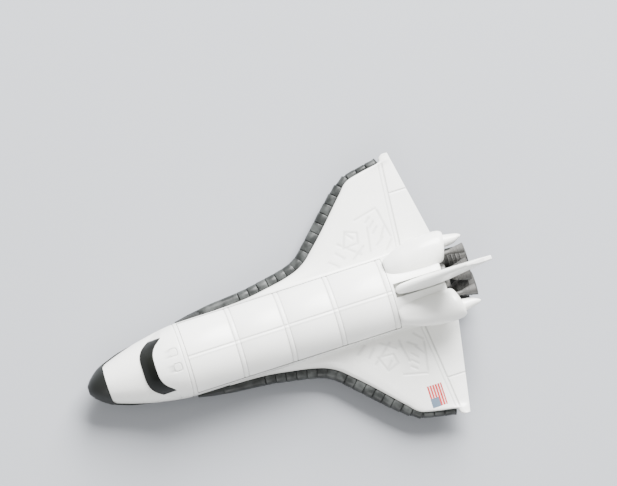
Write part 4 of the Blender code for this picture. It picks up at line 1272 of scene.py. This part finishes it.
def turned_shape():
    """Turns a line of points, each along and away from its axis, into a closed round solid."""
    inputs = {"Geometry": ("Geometry",), "Steps": ("Int", 96), "Flutes": ("Float",)}
    inputs.update({"Flute depth": ("Float",), "Turn": ("Vector",), "Place": ("Vector",)})
    inputs["Finish"] = ("Material",)
    tree, start, end = group("Geometry", "turned_shape", inputs, {"Geometry": ("Geometry",)})
    line, steps = start.outputs["Geometry"], start.outputs["Steps"]
    flutes, depth = start.outputs["Flutes"], start.outputs["Flute depth"]
    count = node(tree, "GeometryNodeAttributeDomainSize", {"Geometry": line}).outputs["Point Count"]
    sheet = {"Vertices X": count, "Vertices Y": maths(tree, "ADD", steps, 1)}
    sheet = node(tree, "GeometryNodeMeshGrid", sheet).outputs["Mesh"]
    here = node(tree, "GeometryNodeInputPosition").outputs["Position"]
    flat = node(tree, "ShaderNodeSeparateXYZ", {"Vector": here}).outputs
    last = maths(tree, "SUBTRACT", count, 1)
    row = maths(tree, "ROUND", maths(tree, "MULTIPLY", maths(tree, "ADD", flat["X"], 0.5), last))
    angle = maths(tree, "MULTIPLY", maths(tree, "ADD", flat["Y"], 0.5), 2 * math.pi)
    profile = {"Geometry": line, "Value": here, "Index": row}
    profile = node(tree, "GeometryNodeSampleIndex", profile, data_type="FLOAT_VECTOR").outputs["Value"]
    point = node(tree, "ShaderNodeSeparateXYZ", {"Vector": profile}).outputs
    wave = maths(tree, "SUBTRACT", 1.0, maths(tree, "COSINE", maths(tree, "MULTIPLY", angle, flutes)))
    cut = maths(tree, "MULTIPLY", maths(tree, "MULTIPLY", wave, depth), point["Z"])
    radius = maths(tree, "SUBTRACT", point["Y"], cut)
    spot = {"X": point["X"], "Y": maths(tree, "MULTIPLY", radius, maths(tree, "COSINE", angle))}
    spot["Z"] = maths(tree, "MULTIPLY", radius, maths(tree, "SINE", angle))
    spot = node(tree, "ShaderNodeCombineXYZ", spot).outputs["Vector"]
    bent = node(tree, "GeometryNodeSetPosition", {"Geometry": sheet, "Position": spot}).outputs["Geometry"]
    sewn = {"Geometry": bent, "Distance": SEWN_WITHIN}
    sewn = node(tree, "GeometryNodeMergeByDistance", sewn).outputs["Geometry"]
    stand = {"Geometry": sewn, "Rotation": start.outputs["Turn"], "Translation": start.outputs["Place"]}
    stand = node(tree, "GeometryNodeTransform", stand).outputs["Geometry"]
    finished(tree, stand, start, end)
    return tree


TURNED = turned_shape()


def turned(name, profile, axis, middle, material, steps, flutes=0.0, depth=0.0):
    """A round solid from (along, radius) points or (along, radius, how fluted) points."""
    rows = np.array([(*point, 0.0)[:3] for point in profile])
    rows *= (MM, MM, 1.0)
    line = bpy.data.meshes.new(name)
    line.from_pydata(rows.tolist(), [], [])
    made = shown(name, line)
    values = {"Steps": steps, "Flutes": flutes, "Flute depth": depth * MM / 2, "Turn": AXIS_TURN[axis]}
    given(made, TURNED, {**values, "Place": tuple(placed([middle])[0].tolist()), "Finish": material})
    settle(made)
    outwards(made.data)
    shaded(made, TURNED_SHARP)
    return made


def bell_profile(length, mouth, ring_places, lead):
    """Along, radius and how fluted: the outer wall from neck to mouth, then the hollow back inside."""
    points = [(-lead, 0.0), (-lead, NECK * mouth)]
    shares = [np.linspace(0.0, FLARE_TO, 40)]
    shares += [place + RING_HALF * np.linspace(-1, 1, RING_STEPS) for place in ring_places]
    for share in np.unique(np.concatenate(shares)):
        opened = max(0.0, share - FLARE_FROM) / (FLARE_TO - FLARE_FROM)
        flare = NECK + (FLARE_TO - NECK) * opened**FLARE_POWER
        ring = sum(RING_HIGH * max(0.0, 1 - ((share - p) / RING_HALF) ** 2) ** 0.5 for p in ring_places)
        points.append((share * length, (flare + ring) * mouth, 0.0 if ring or share < FLUTES_FROM else 1.0))
    points += [(share * length, radius * mouth) for share, radius in BELL_LIP]
    for share in np.linspace(1.0, THROAT[0], 16):
        radius = HOLLOW - (HOLLOW - THROAT[1]) * (1 - share) ** HOLLOW_POWER / (1 - THROAT[0])
        points.append((share * length, radius * mouth))
    return points + [(share * length, radius * mouth) for share, radius in THROAT_END]


for name, (out, up, seat, length, mouth) in BELLS.items():
    places, lead = (MAIN_RINGS, 0.0) if name.startswith("main") else (ORBITAL_RINGS, ORBITAL_LEAD)
    profile, spot = bell_profile(length, mouth, places, lead), (out, seat, up)
    bell = turned(f"grey_{name}", profile, "aft", spot, grey_plastic, BELL_STEPS, BELL_FLUTES, FLUTE_DEPTH)
    dressed(bell, grey_plastic, name)

# Each wheel is a black plastic moulding with a dished hub, rounded shoulders and two grooves in its
# tread. Two of them are pressed on one steel pin and turn with it.
WHEEL_STEPS = 128
# How deep in from the side, and how far from the axis: in mm at the hub, as a share at the rim.
HUB_SIDE = ((0.0, 0.41), (0.0, 0.78), (0.16, 0.86), (0.2, 0.9))
RIM_SHARES = ((0.2, 0.58), (0.12, 0.62), (0.0, 0.66), (0.0, 0.76), (0.03, 0.82), (0.08, 0.88))
RIM_SHARES += ((0.16, 0.945), (0.26, 0.985), (0.36, 1.0))
TREAD_SHARES, TREAD_HALF, TREAD_DEEP, TREAD_STEPS = (-0.14, 0.14), 0.06, 0.07, 7
WHEEL_BLACK = (0.019, 0.019, 0.02), (0.035, 0.034, 0.033)


def wheel_profile(radius, width):
    """One side of the wheel from its bore to its tread, the grooves, and the other side back."""
    side = [(-width / 2 + sunk, reach) for sunk, reach in HUB_SIDE]
    side += [(-width / 2 + sunk, reach * radius) for sunk, reach in RIM_SHARES]
    tread = []
    for place in TREAD_SHARES:
        for step in np.linspace(-1.0, 1.0, TREAD_STEPS):
            tread.append((place * width + TREAD_HALF * step, radius - TREAD_DEEP * (1 - step**2)))
    return side + tread + [(-along, reach) for along, reach in reversed(side)] + [side[0]]


def rolling(gear):
    """The name of the body that a gear's wheels and pin roll as."""
    return "nose_wheels" if gear == "nose" else gear.replace("main", "main_wheels")


wheel_plastic = finish("wheel_plastic", WHEEL_BLACK, (0.48, 0.62), 0.06, 0.8, 6.0, edge=0.08)
for gear, (out, aft, radius, width, leg) in GEAR.items():
    for end, place in wheel_middles(gear):
        name, spot, profile = f"{gear}_wheel_{end}", (place, aft, radius), wheel_profile(radius, width)
        wheel = turned(f"black_{name}", profile, "across", spot, wheel_plastic, WHEEL_STEPS)
        dressed(wheel, wheel_plastic, name, body=rolling(gear))

# The pins are drawn steel wire, cut with a small chamfer and a dimple at each end. They turn with
# the wheels that are pressed on them.
PIN_STEPS, PIN_CHAMFER, PIN_DIMPLE, PIN_SHORT = 48, 0.08, 0.07, 0.15
STEEL = (0.62, 0.61, 0.59), (0.45, 0.44, 0.43)
pin_steel = finish("pin_steel", STEEL, (0.22, 0.38), 0.05, 0.6, 2.0, metallic=1.0)
for gear, (out, aft, radius, width, leg) in GEAR.items():
    reach = leg + WHEEL_CLEAR + width - PIN_SHORT
    end = ((-reach + PIN_DIMPLE, 0.0), (-reach + 0.5 * PIN_DIMPLE, 0.08), (-reach, 0.15))
    end += ((-reach, PIN_RADIUS - PIN_CHAMFER), (-reach + PIN_CHAMFER, PIN_RADIUS))
    profile = end + tuple((-along, wide) for along, wide in reversed(end))
    pin = turned(f"steel_{gear}_pin", profile, "across", (out, aft, radius), pin_steel, PIN_STEPS)
    dressed(pin, pin_steel, f"{gear}_pin", body=rolling(gear))

# Two posts of the zinc casting come through the underbody and are peened over in their seats. Their
# heads are low, a little dished in the middle and rounded at the rim.
RIVET_STEPS = 96
RIVET_HEAD = ((-0.11, 0.0), (-0.12, 0.22), (-0.16, 0.42), (-0.2, 0.62), (-0.2, 0.9), (-0.17, 1.12))
RIVET_HEAD += ((-0.1, 1.3), (0.0, 1.4))
ZINC = (0.46, 0.46, 0.47), (0.3, 0.3, 0.31)
rivet_zinc = finish("rivet_zinc", ZINC, (0.3, 0.5), 0.12, 0.7, 14.0, edge=0.1, metallic=1.0)
for name, aft in RIVETS.items():
    profile = RIVET_HEAD + ((RIVET_DEPTH - GAP, RIVET_RADIUS), (RIVET_DEPTH - GAP, 0.0))
    rivet = turned(f"zinc_{name}", profile, "up", (0.0, aft, BELLY_UP), rivet_zinc, RIVET_STEPS)
    dressed(rivet, rivet_zinc, name)
